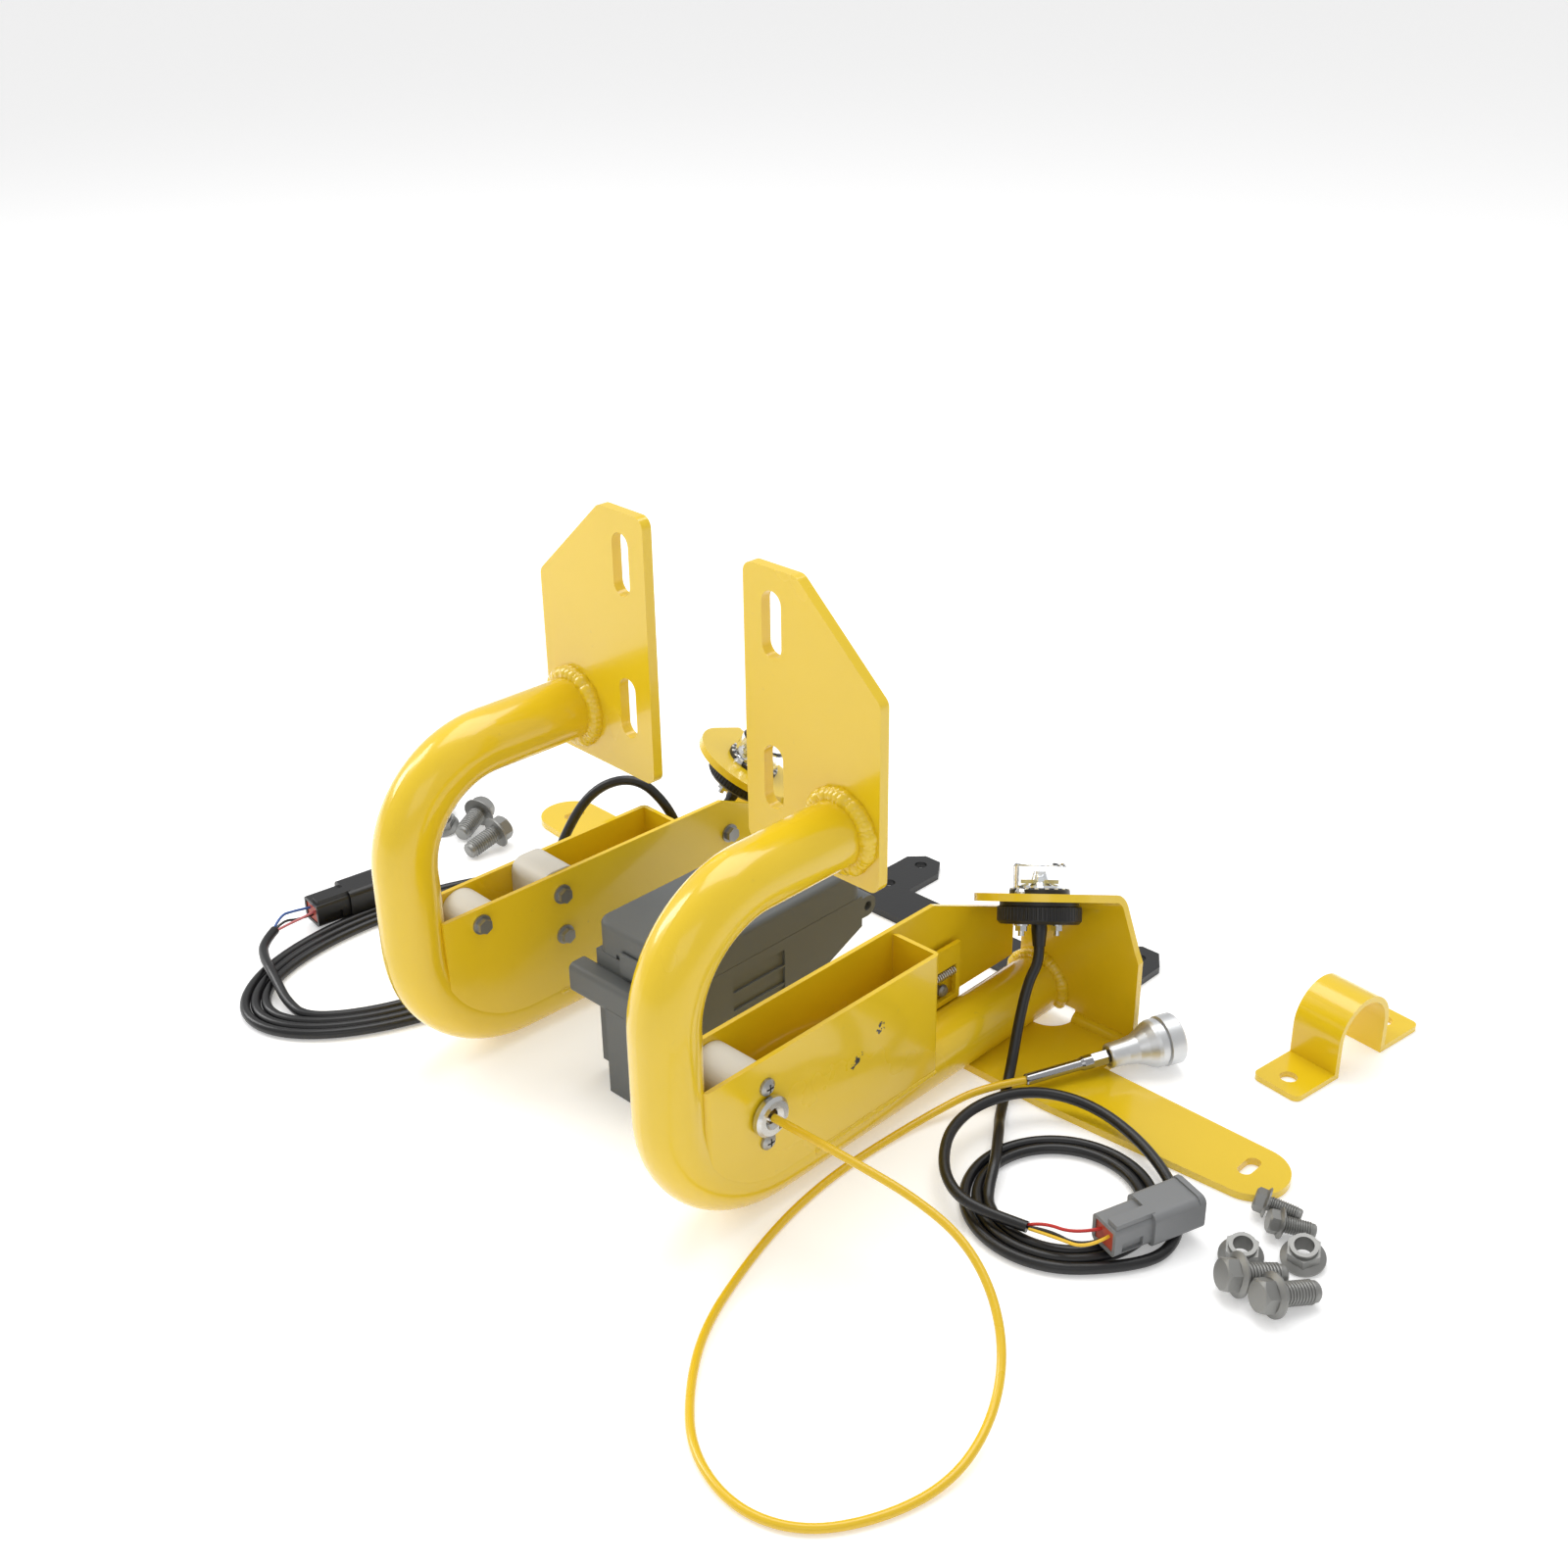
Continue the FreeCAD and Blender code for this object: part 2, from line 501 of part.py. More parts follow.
def connector(tail, mouth, rise, side):
    """Six-way sealed plug: a stepped housing, its wedge lock and three short wires."""
    length = (mouth - tail).Length
    half = 13.0
    body = rounded(box((0, length * 0.45), (-half + 2.5, half - 2.5), (1.5, 19.5)), 3.0, V(1, 0, 0))
    hood = rounded(box((length * 0.42, length), (-half, half), (0, 22)), 4.5, V(1, 0, 0))
    body = body.fuse(hood).cut(rounded(box((length * 0.5, length + 1), (-half + 2, half - 2), (2, 20)), 3.0, V(1, 0, 0)))
    lip = rounded(box((length - 4.5, length - 1.5), (-half, half), (0, 23.2)), 4.5, V(1, 0, 0))
    body = body.fuse(lip.cut(box((length - 6, length), (-half + 1, half - 1), (1, 21))))
    body = body.cut(box((5, 19), (-half - 1, -half + 4.5), (4, 10)))
    body = body.cut(box((-1, 4), (-half + 5, half - 5), (4, 17)))
    body = body.fuse(box((1.5, length * 0.45), (-half + 4, -half + 12), (19.4, 22.4)))
    wedge = box((length * 0.5 + 0.0, length * 0.8), (-6, 6), (7, 15))
    seal = box((0.8, 4), (-half + 5, half - 5), (4, 17))
    turn = FreeCAD.Rotation(V(1, 0, 0), V(mouth.x - tail.x, mouth.y - tail.y, 0))
    place = FreeCAD.Placement(V(tail.x, tail.y, rise), turn)
    shapes = {side + "_connector_body": body.removeSplitter(), side + "_connector_seal": seal,
              side + "_connector_wedge": wedge}
    for shape in shapes.values():
        shape.Placement = place
    sockets = [place.multVec(V(0.8, offset, height)) for offset, height in ((-3.5, 12), (0, 8), (3.5, 12.5))]
    return shapes, sockets


def wires(jacket_end, heading, sockets, name):
    """Thin wires fanning from the jacket's end to the plug's seal."""
    solids = []
    for i, socket in enumerate(sockets):
        across = V(-heading.y, heading.x, 0).normalize() * (i - 1) * 1.7
        begin = jacket_end + across
        reach = (socket - begin).Length
        first = begin + heading * (0.3 * reach) + across * 2.2 + V(0, 0, 0.6 * i)
        second = socket + (socket - sockets[1]) * 0.6 - V(heading.x, heading.y, 0) * (0.28 * reach)
        solids.append(cord_tube([tuple(begin), tuple(first), tuple(second), tuple(socket)], 1.7, name))
    return Part.makeCompound(solids)


# ---------------------------------------------------------------- control box
def box_base():
    x0, x1 = BOX_X
    y, z = HINGE
    side = [V(x0, BOX_FRONT, BOX_SEAM - GAP), V(x0, BOX_FRONT, 8), V(x0, 100, 8), V(x0, 214, 55),
            V(x0, 244, 68), V(x0, 244, BOX_SEAM - GAP)]
    body = plate(side, V(x1 - x0, 0, 0))
    middle = (x0 + x1) / 2
    for low, high in ((x0, middle - 18), (middle + 18, x1)):
        ear = rod(7.5, V(low, y, z), V(1, 0, 0), high - low)
        body = body.fuse(ear.fuse(box((low, high), (238, y), (z - 7.5, z + 7.5))))
    body = body.fuse(rounded(box((middle - 51, middle + 51), (72, 87), (59, 80)), 4.0, V(1, 0, 0)))
    body = body.fuse(box((middle - 18, middle + 18), (72, 90), (0, 62)))
    hollow = plate([V(x0 + 3, BOX_FRONT + 3, 120), V(x0 + 3, BOX_FRONT + 3, 40), V(x0 + 3, 170, 44),
                    V(x0 + 3, 206, 58), V(x0 + 3, 236, 70), V(x0 + 3, 236, 120)], V(x1 - x0 - 6, 0, 0))
    body = body.cut(hollow)
    body = body.cut(box((middle - 17.7, middle + 17.7), (240.5, 270), (60, 130)))
    recess = box((x1 - 1.8, x1 + 1), (127, 172), (44, 83))
    ribs = [box((x1 - 2.5, x1 - 0.3), (127, 172), (low, low + 1.6)) for low in (57, 70)]
    body = body.cut(recess).fuse(ribs)
    body = body.cut(rod(3.2, V(x0 - 1, y, z), V(1, 0, 0), x1 - x0 + 2))
    return body.removeSplitter()


def box_lid():
    x0, x1 = BOX_X
    y, z = HINGE
    middle = (x0 + x1) / 2
    body = box((x0, x1), (BOX_FRONT, 246), (BOX_SEAM, BOX_TOP))
    body = rounded(body, 10.0, V(0, 0, 1))
    top_edges = [edge for edge in body.Edges if edge.BoundBox.ZMin > BOX_TOP - 0.1]
    body = body.makeFillet(4.0, top_edges)
    body = body.cut(box((x0 + 3, x1 - 3), (BOX_FRONT + 3, 243), (BOX_SEAM - 1, BOX_TOP - 3)))
    arm_low = box((middle - 17, middle + 17), (242.5, 246), (z, BOX_SEAM + 4))
    knuckle = rod(7.0, V(middle - 17, y, z), V(1, 0, 0), 34)
    body = body.fuse([arm_low, knuckle])
    body = body.cut(rod(3.07, V(middle - 20, y, z), V(1, 0, 0), 40))
    return body.cut(box((middle - 20, middle - 4), (BOX_FRONT - 1, BOX_FRONT + 1.5), (BOX_SEAM - 1, BOX_SEAM + 3)))


def box_hinge_pin():
    y, z = HINGE
    return rod(3.0, V(BOX_X[0] + 4, y, z), V(1, 0, 0), BOX_X[1] - BOX_X[0] - 8)


def box_latch():
    """Spring clip on the lid's front that snaps over the base."""
    middle = (BOX_X[0] + BOX_X[1]) / 2
    y = BOX_FRONT
    body = box((middle - 14, middle + 14), (y - 2.4, y - GAP), (BOX_SEAM - 8, BOX_SEAM + 8))
    return rounded(body, 0.9, V(1, 0, 0))


# ---------------------------------------------------------------- loose hardware
def black_frame():
    """Flat black U-frame: two legs with chamfered tips joined by a cross bar."""
    t = 5.0
    solids = []
    for x0, x1, back in ((-192, -158, 429), (2, 36, 434)):
        solids.append(plate([V(x0, 346, 0), V(x1, 346, 0), V(x1, back - 14, 0), V(x1 - 10, back, 0),
                             V(x0 + 10, back, 0), V(x0, back - 10, 0)], V(0, 0, t)))
    body = box((-190, 34), (346, 382), (0, t)).fuse(solids).removeSplitter()
    for x, y in ((-176, 416), (-176, 380), (19, 420), (19, 384)):
        body = body.cut(rod(4.6, V(x, y, -1), V(0, 0, 1), 10))
    return body


def saddle_clamp():
    """Bent strap that holds a rail down, one hole in each foot."""
    t = CLAMP_T
    outer = CLAMP_BORE + t
    half = CLAMP_WIDTH / 2
    hump = rod(outer, V(-half, 0, CLAMP_AXIS_Z), V(1, 0, 0), CLAMP_WIDTH)
    hump = hump.fuse(box((-half, half), (-outer, outer), (0, CLAMP_AXIS_Z)))
    feet = rounded(box((-half, half), (-63, 63), (0, t)), 5.0, V(0, 0, 1))
    body = hump.fuse(feet).removeSplitter()
    void = rod(CLAMP_BORE, V(-half - 1, 0, CLAMP_AXIS_Z), V(1, 0, 0), CLAMP_WIDTH + 2)
    void = void.fuse(box((-half - 1, half + 1), (-CLAMP_BORE, CLAMP_BORE), (-1, CLAMP_AXIS_Z)))
    body = body.cut(void)
    for y in (-49, 49):
        body = body.cut(rod(5.6, V(0, y, -1), V(0, 0, 1), 10))
    body.Placement = FreeCAD.Placement(CLAMP_AT, FreeCAD.Rotation(V(0, 0, 1), CLAMP_YAW))
    return body


def flange_bolt(at, heading, size):
    """Hex flange screw lying on its flange and its tip; size is the thread's diameter."""
    flange_r = size * 1.05
    length = size * 2.5
    head = Part.Face(Part.makePolygon([V(size * 0.84 * math.cos(a), size * 0.84 * math.sin(a), 0)
                                       for a in [math.pi / 3 * k for k in range(7)]])).extrude(V(0, 0, size * 0.72))
    head = head.common(revolve([(0, 0), (size * 0.9, 0), (size * 0.9, size * 0.5), (size * 0.66, size * 0.73),
                                (0, size * 0.73)], V(0, 0, 0), V(0, 0, 1)))
    flange = revolve([(0, -size * 0.2), (flange_r, -size * 0.2), (flange_r, -size * 0.1), (size * 0.8, size * 0.05),
                      (0, size * 0.05)], V(0, 0, 0), V(0, 0, 1))
    shank = revolve([(0, -length), (size * 0.42, -length), (size / 2, -length + size * 0.1), (size / 2, 0), (0, 0)],
                    V(0, 0, 0), V(0, 0, 1))
    body = head.fuse([flange, shank])
    droop = math.atan2(flange_r - size / 2, length)
    aim = V(math.cos(heading) * math.cos(droop), math.sin(heading) * math.cos(droop), -math.sin(droop))
    lift = flange_r * math.cos(droop) + size * 0.2 * math.sin(droop) + 0.1
    body.Placement = FreeCAD.Placement(V(at[0], at[1], lift), FreeCAD.Rotation(V(0, 0, -1), aim))
    return body


def lock_nut(at, lean, size):
    """Flange lock nut, flat or leaning on its flange."""
    flat = size * 0.84
    body = Part.Face(Part.makePolygon([V(flat * math.cos(a), flat * math.sin(a), 0)
                                       for a in [math.pi / 3 * k for k in range(7)]])).extrude(V(0, 0, size * 0.8))
    body = body.fuse(revolve([(0, 0), (size * 1.05, 0), (size * 1.05, size * 0.12), (flat * 0.9, size * 0.3),
                              (0, size * 0.3)], V(0, 0, 0), V(0, 0, 1)))
    body = body.fuse(rod(flat * 0.78, V(0, 0, size * 0.8), V(0, 0, 1), size * 0.2))
    body = body.cut(rod(size * 0.46, V(0, 0, -1), V(0, 0, 1), size * 2))
    body.Placement = FreeCAD.Placement(V(at[0], at[1], 0.2), FreeCAD.Rotation(V(0, 0, 1), lean))
    body.translate(V(0, 0, 0.2 - body.BoundBox.ZMin))
    return body


RIGHT_BOLTS = [((247.5, 182), math.radians(57)), ((270, 181), math.radians(64))]
LEFT_BOLTS = [((-477, 234), math.radians(-69)), ((-440.6, 223), math.radians(-90))]
RIGHT_NUTS = [((236.5, 206.5), V(0.15, -0.2, 1)), ((262, 229), V(0.1, -0.25, 1))]
LEFT_NUTS = [((-493, 209), V(0.2, -0.2, 1)), ((-514, 224), V(-0.2, -0.3, 1))]
SMALL_SCREWS = [((224.5, 249.5), math.radians(22)), ((239.5, 239), math.radians(37))]


# ---------------------------------------------------------------- the whole kit
def build():
    """Return every node's shape, and the names of those that lie on free cords."""
    nodes = arm("right")
    for name, shape in arm("left").items():
        nodes[name] = to_left(shape)
    del nodes["right_rear_block"]
    nodes["cable_guide"] = cable_guide()
    nodes["guide_screws"] = guide_screws()
    nodes["pull_slider"] = pull_slider()
    nodes["return_spring"] = return_spring()
    nodes["slider_screw"] = slider_screw()
    nodes["pull_wire"] = pull_wire()
    nodes["box_base"] = box_base()
    nodes["box_lid"] = box_lid()
    nodes["box_hinge_pin"] = box_hinge_pin()
    nodes["box_latch"] = box_latch()
    nodes["black_frame"] = black_frame()
    nodes["saddle_clamp"] = saddle_clamp()
    nodes["mount_bolts"] = Part.makeCompound([flange_bolt(at, turn, 12.0) for at, turn in RIGHT_BOLTS + LEFT_BOLTS])
    nodes["lock_nuts"] = Part.makeCompound([lock_nut(at, lean, 12.0) for at, lean in RIGHT_NUTS + LEFT_NUTS])
    nodes["small_screws"] = Part.makeCompound([flange_bolt(at, turn, 8.5) for at, turn in SMALL_SCREWS])

    cords = {"trip_cable": cord_tube(TRIP_ROUTE, TRIP_D, "trip_cable")}
    cords.update(trip_end())
    cords["right_lead"] = Part.makeCompound([
        cord_tube(lead_start(RIGHT_LEAD_ROUTE), LEAD_D, "right_lead"),
        cord_tube(RIGHT_TAIL_ROUTE, LEAD_D, "right_tail")])
    cords["right_lead_coil"] = ring_coil(RIGHT_COIL)
    shapes, sockets = connector(V(181, 154, 0), V(199.5, 211, 0), 8.0, "right")
    cords.update(shapes)
    cords["right_connector_wires"] = wires(V(*RIGHT_TAIL_ROUTE[-1]), V(0.92, 0.33, 0.15), sockets, "right_wire")
    left_route = [tuple(left_point(V(*p))) for p in lead_start(LEFT_LEAD_ROUTE)]
    cords["left_lead"] = Part.makeCompound([cord_tube(left_route, LEAD_D, "left_lead"),
                                            cord_tube(LEFT_TAIL_ROUTE, LEAD_D, "left_tail")])
    cords["left_lead_coil"] = oval_coil(LEFT_COIL)
    shapes, sockets = connector(V(-442, 55, 0), V(-434, 115, 0), 3.0, "left")
    cords.update(shapes)
    cords["left_connector_wires"] = wires(V(*LEFT_TAIL_ROUTE[-1]), V(-0.25, 0.9, 0.2), sockets, "left_wire")
    return nodes, cords


def main():
    os.makedirs("parts", exist_ok=True)
    nodes, cords = build()
    print("pieces", len(nodes) + len(cords))
    for name, shape in list(nodes.items()) + list(cords.items()):
        moved = shape.copy()
        moved.translate(HOME)
        moved.exportStep("parts/" + name + ".step")


main()
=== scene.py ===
"""Looks of the operator guard kit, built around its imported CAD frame.

Places are written in millimetres in the workshop frame of the right arm (its tube in the
plane x = 0, its front upright on y = 0, the floor at z = 0) and moved home by place().
"""

import logging
import math
from dataclasses import dataclass, field
from enum import Enum
from typing import Iterable, Optional, Sequence

import bpy
from mathutils import Matrix, Vector


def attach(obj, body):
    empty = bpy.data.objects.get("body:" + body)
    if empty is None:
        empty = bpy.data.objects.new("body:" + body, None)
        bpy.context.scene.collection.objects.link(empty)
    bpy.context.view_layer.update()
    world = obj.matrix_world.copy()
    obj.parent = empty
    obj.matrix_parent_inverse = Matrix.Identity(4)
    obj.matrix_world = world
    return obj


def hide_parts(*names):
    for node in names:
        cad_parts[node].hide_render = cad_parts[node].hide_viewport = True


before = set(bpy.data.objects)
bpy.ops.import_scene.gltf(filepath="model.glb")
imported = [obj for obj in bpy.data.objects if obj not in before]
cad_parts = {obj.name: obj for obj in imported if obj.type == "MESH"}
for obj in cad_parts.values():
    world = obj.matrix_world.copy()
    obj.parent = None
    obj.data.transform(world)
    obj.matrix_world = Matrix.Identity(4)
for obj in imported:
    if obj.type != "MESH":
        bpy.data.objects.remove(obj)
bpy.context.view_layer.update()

log = logging.getLogger("guard_kit")
MM = 0.001
HOME_MM = Vector((119.4, -231.5, 0.0))
LEFT_YAW = math.radians(-1.9)
LEFT_SHIFT = Vector((-240.6, 7.7, 0.0))
Point = tuple[float, float, float]
Colour = tuple[float, float, float]
FLOAT = "NodeSocketFloat"
WHOLE = "NodeSocketInt"
VECTOR = "NodeSocketVector"
MATERIAL = ("NodeSocketMaterial", None)
RIDGE_SHARE = 0.48


class Body(Enum):
    """The CAD body that the added pieces ride on."""
    KIT = "kit"


class Side(Enum):
    """Which arm a piece belongs to."""
    RIGHT = "right"
    LEFT = "left"


def place(point: Sequence[float], side: Side = Side.RIGHT) -> Vector:
    """Move a workshop point into the row frame.

    Args:
        point: x, y and z in millimetres, in the arm's own frame.
        side: the arm whose frame the point is in.
    Returns:
        The same point in metres in the row frame.
    """
    spot = Vector(point)
    if side is Side.LEFT:
        spot = Matrix.Rotation(LEFT_YAW, 3, "Z") @ Vector((-spot.x, spot.y, spot.z)) + LEFT_SHIFT
    return (spot + HOME_MM) * MM


def aim(direction: Vector, side: Side = Side.RIGHT) -> Vector:
    """Turn an arm's own direction into the row frame."""
    return (place(direction, side) - place((0, 0, 0), side)).normalized()


# ------------------------------------------------------------------ shader groups
def new_group(name: str, inputs: dict[str, tuple[str, object]],
              outputs: dict[str, str]) -> bpy.types.NodeTree:
    """Start a shader node group.

    Args:
        name: the group's name.
        inputs: socket name to its type and default value.
        outputs: socket name to its type.
    Returns:
        The group, with its two end nodes named "in" and "out".
    """
    tree = bpy.data.node_groups.new(name, "ShaderNodeTree")
    for label, (kind, value) in inputs.items():
        socket = tree.interface.new_socket(label, in_out="INPUT", socket_type=kind)
        socket.default_value = value
    for label, kind in outputs.items():
        tree.interface.new_socket(label, in_out="OUTPUT", socket_type=kind)
    tree.nodes.new("NodeGroupInput").name = "in"
    tree.nodes.new("NodeGroupOutput").name = "out"
    return tree


def noise(tree: bpy.types.NodeTree, scale: object, detail: float, vector: object = None) -> bpy.types.Node:
    """Add a noise texture whose scale is a number or a socket."""
    node = tree.nodes.new("ShaderNodeTexNoise")
    node.inputs["Detail"].default_value = detail
    if isinstance(scale, (int, float)):
        node.inputs["Scale"].default_value = scale
    else:
        tree.links.new(scale, node.inputs["Scale"])
    if vector is not None:
        tree.links.new(vector, node.inputs["Vector"])
    return node


def window(tree: bpy.types.NodeTree, value: object, low: float, high: float) -> object:
    """Map a value so that low gives 0 and high gives 1, clamped."""
    node = tree.nodes.new("ShaderNodeMapRange")
    node.inputs["From Min"].default_value = low
    node.inputs["From Max"].default_value = high
    tree.links.new(value, node.inputs["Value"])
    return node.outputs["Result"]


def arithmetic(tree: bpy.types.NodeTree, operation: str, first: object, second: object) -> object:
    """Combine two values, each a number or a socket."""
    node = tree.nodes.new("ShaderNodeMath")
    node.operation = operation
    for target, value in zip(node.inputs, (first, second)):
        if isinstance(value, (int, float)):
            target.default_value = value
        else:
            tree.links.new(value, target)
    return node.outputs[0]


def build_skin_group() -> bpy.types.NodeTree:
    """Fine surface height with a slow drift of tone, for any finish."""
    tree = new_group("skin", {"Vector": (VECTOR, (0, 0, 0)), "Grain": (FLOAT, 900.0),
                              "Drift": (FLOAT, 9.0)},
                     {"Height": FLOAT, "Tone": FLOAT})
    source = tree.nodes["in"].outputs
    target = tree.nodes["out"].inputs
    grain = noise(tree, source["Grain"], 3.0, source["Vector"])
    drift = noise(tree, source["Drift"], 4.0, source["Vector"])
    tree.links.new(grain.outputs["Fac"], target["Height"])
    tree.links.new(window(tree, drift.outputs["Fac"], 0.3, 0.7), target["Tone"])
    return tree


def build_scuff_group() -> bpy.types.NodeTree:
    """Sparse small marks and rubs, as a mask."""
    tree = new_group("scuff", {"Vector": (VECTOR, (0, 0, 0)), "Size": (FLOAT, 160.0),
                               "Amount": (FLOAT, 0.5)}, {"Mask": FLOAT})
    source = tree.nodes["in"].outputs
    fine = noise(tree, source["Size"], 6.0, source["Vector"])
    patch = noise(tree, 14.0, 2.0, source["Vector"])
    marks = window(tree, fine.outputs["Fac"], 0.66, 0.74)
    zones = window(tree, patch.outputs["Fac"], 0.52, 0.66)
    both = arithmetic(tree, "MULTIPLY", marks, zones)
    scaled = arithmetic(tree, "MULTIPLY", both, source["Amount"])
    tree.links.new(scaled, tree.nodes["out"].inputs["Mask"])
    return tree


def build_chip_group() -> bpy.types.NodeTree:
    """One ragged chip in the paint round a given point, as a mask."""
    tree = new_group("chip", {"Vector": (VECTOR, (0, 0, 0)), "Centre": (VECTOR, (0, 0, 0)),
                              "Radius": (FLOAT, 0.003)}, {"Mask": FLOAT})
    source = tree.nodes["in"].outputs
    apart = tree.nodes.new("ShaderNodeVectorMath")
    apart.operation = "DISTANCE"
    tree.links.new(source["Vector"], apart.inputs[0])
    tree.links.new(source["Centre"], apart.inputs[1])
    ragged = noise(tree, 420.0, 3.0, source["Vector"])
    edge = arithmetic(tree, "MULTIPLY", window(tree, ragged.outputs["Fac"], 0.35, 0.6), source["Radius"])
    inside = arithmetic(tree, "LESS_THAN", apart.outputs["Value"], edge)
    tree.links.new(inside, tree.nodes["out"].inputs["Mask"])
    return tree


# ------------------------------------------------------------------ finishes
@dataclass(frozen=True)
class Finish:
    """A surface finish with grain, slow tone drift, scuffs and optional paint chips."""
    name: str
    colour: Colour
    roughness: float
    metallic: float = 0.0
    coat: float = 0.0
    grain: float = 900.0
    bump: float = 0.03
    drift: float = 0.06
    rub: float = 0.0
    rub_colour: Colour = (0.1, 0.1, 0.1)
    chips: tuple[tuple[Point, float], ...] = ()
    transmission: float = 0.0

    def build(self, groups: dict[str, bpy.types.NodeTree]) -> bpy.types.Material:
        """Make the material.

        Args:
            groups: the shared shader groups by name.
        Returns:
            The finished material.
        """
        material = bpy.data.materials.new(self.name)
        material.use_nodes = True
        tree = material.node_tree
        shader = tree.nodes["Principled BSDF"]
        shader.inputs["Metallic"].default_value = self.metallic
        shader.inputs["Coat Weight"].default_value = self.coat
        shader.inputs["Coat Roughness"].default_value = 0.08
        shader.inputs["Transmission Weight"].default_value = self.transmission
        coords = tree.nodes.new("ShaderNodeTexCoord").outputs["Object"]
        skin = self.group_node(tree, groups["skin"], coords)
        skin.inputs["Grain"].default_value = self.grain
        tinted = self.tone(tree, skin.outputs["Tone"])
        rough = tree.nodes.new("ShaderNodeMapRange")
        rough.inputs["To Min"].default_value = max(0.02, self.roughness - 0.05)
        rough.inputs["To Max"].default_value = self.roughness + 0.05
        tree.links.new(skin.outputs["Tone"], rough.inputs["Value"])
        tree.links.new(rough.outputs["Result"], shader.inputs["Roughness"])
        if self.rub > 0:
            scuff = self.group_node(tree, groups["scuff"], coords)
            scuff.inputs["Amount"].default_value = self.rub
            tinted = self.blend(tree, scuff.outputs["Mask"], tinted, self.rub_colour)
        for spot, radius in self.chips:
            chip = self.group_node(tree, groups["chip"], coords)
            chip.inputs["Centre"].default_value = place(spot)
            chip.inputs["Radius"].default_value = radius * MM
            tinted = self.blend(tree, chip.outputs["Mask"], tinted, (0.035, 0.035, 0.04))
        tree.links.new(tinted, shader.inputs["Base Color"])
        bump = tree.nodes.new("ShaderNodeBump")
        bump.inputs["Strength"].default_value = self.bump
        bump.inputs["Distance"].default_value = 0.001
        tree.links.new(skin.outputs["Height"], bump.inputs["Height"])
        tree.links.new(bump.outputs["Normal"], shader.inputs["Normal"])
        return material

    @staticmethod
    def group_node(tree: bpy.types.NodeTree, group: bpy.types.NodeTree, coords: object) -> bpy.types.Node:
        """Place a shared group in a material and give it the object's own coordinates."""
        node = tree.nodes.new("ShaderNodeGroup")
        node.node_tree = group
        tree.links.new(coords, node.inputs["Vector"])
        return node

    def tone(self, tree: bpy.types.NodeTree, mask: object) -> object:
        """The base colour, a little darker and lighter where the tone drifts."""
        mix = tree.nodes.new("ShaderNodeMix")
        mix.data_type = "RGBA"
        mix.inputs["A"].default_value = (*[c * (1 - self.drift) for c in self.colour], 1)
        mix.inputs["B"].default_value = (*[min(1, c * (1 + self.drift)) for c in self.colour], 1)
        tree.links.new(mask, mix.inputs["Factor"])
        return mix.outputs["Result"]

    @staticmethod
    def blend(tree: bpy.types.NodeTree, mask: object, base: object, colour: Colour) -> object:
        """Cover a colour with another one where the mask is 1."""
        mix = tree.nodes.new("ShaderNodeMix")
        mix.data_type = "RGBA"
        tree.links.new(mask, mix.inputs["Factor"])
        tree.links.new(base, mix.inputs["A"])
        mix.inputs["B"].default_value = (*colour, 1)
        return mix.outputs["Result"]


YELLOW = (0.760, 0.520, 0.009)
POWDER = Finish("yellow_powder", YELLOW, 0.24, coat=0.5, grain=260.0, bump=0.035, drift=0.03, rub=0.25,
                rub_colour=(0.30, 0.22, 0.05))
COVER_CHIPS = (((19.5, 151, 82), 4.0), ((19.5, 149, 80.5), 2.6), ((19.5, 130, 69), 3.2),
               ((19.5, 127, 66.5), 2.6), ((19.5, 134.6, 71.7), 1.6))
POWDER_CHIPPED = Finish("yellow_powder_chipped", YELLOW, 0.24, coat=0.5, grain=260.0, bump=0.035, drift=0.03,
                        rub=0.4, rub_colour=(0.30, 0.22, 0.05), chips=COVER_CHIPS)
NYLON = Finish("white_nylon", (0.62, 0.60, 0.55), 0.5, bump=0.06, drift=0.05)
ZINC = Finish("zinc_steel", (0.27, 0.27, 0.26), 0.46, metallic=0.85, grain=1400.0, bump=0.12, drift=0.12,
              rub=0.3)
CHROME = Finish("chrome", (0.36, 0.36, 0.37), 0.14, metallic=1.0, grain=300.0, bump=0.02, drift=0.05)
SCREW_STEEL = Finish("screw_steel", (0.36, 0.36, 0.35), 0.34, metallic=0.95, grain=1500.0, bump=0.05,
                     drift=0.1)
BRIGHT = Finish("bright_steel", (0.60, 0.60, 0.59), 0.24, metallic=1.0, grain=1600.0, bump=0.03, drift=0.06)
BLACK_PLASTIC = Finish("black_plastic", (0.007, 0.007, 0.008), 0.42, grain=1100.0, bump=0.05, drift=0.1)
LENS = Finish("clear_lens", (0.97, 0.98, 0.99), 0.08, grain=120.0, bump=0.05, drift=0.0, transmission=1.0)
MIRROR = Finish("reflector", (0.86, 0.87, 0.88), 0.12, metallic=1.0, grain=300.0, bump=0.2, drift=0.03)
RUBBER = Finish("black_rubber", (0.006, 0.006, 0.007), 0.34, grain=1500.0, bump=0.05, drift=0.12)
SEAL = Finish("orange_silicone", (0.42, 0.06, 0.03), 0.5, bump=0.05)
WEDGE = Finish("orange_plastic", (0.70, 0.09, 0.02), 0.35, bump=0.03)
BLACK_STEEL = Finish("black_steel", (0.008, 0.0085, 0.010), 0.36, coat=0.1, grain=420.0, bump=0.05,
                     drift=0.15, rub=0.35, rub_colour=(0.14, 0.14, 0.14))
GREY_PLASTIC = Finish("grey_plastic", (0.105, 0.112, 0.112), 0.5, grain=1300.0, bump=0.09, drift=0.07,
                      rub=0.2, rub_colour=(0.22, 0.22, 0.22))
PLUG_GREY = Finish("plug_grey", (0.19, 0.195, 0.20), 0.46, grain=1300.0, bump=0.06, drift=0.05)
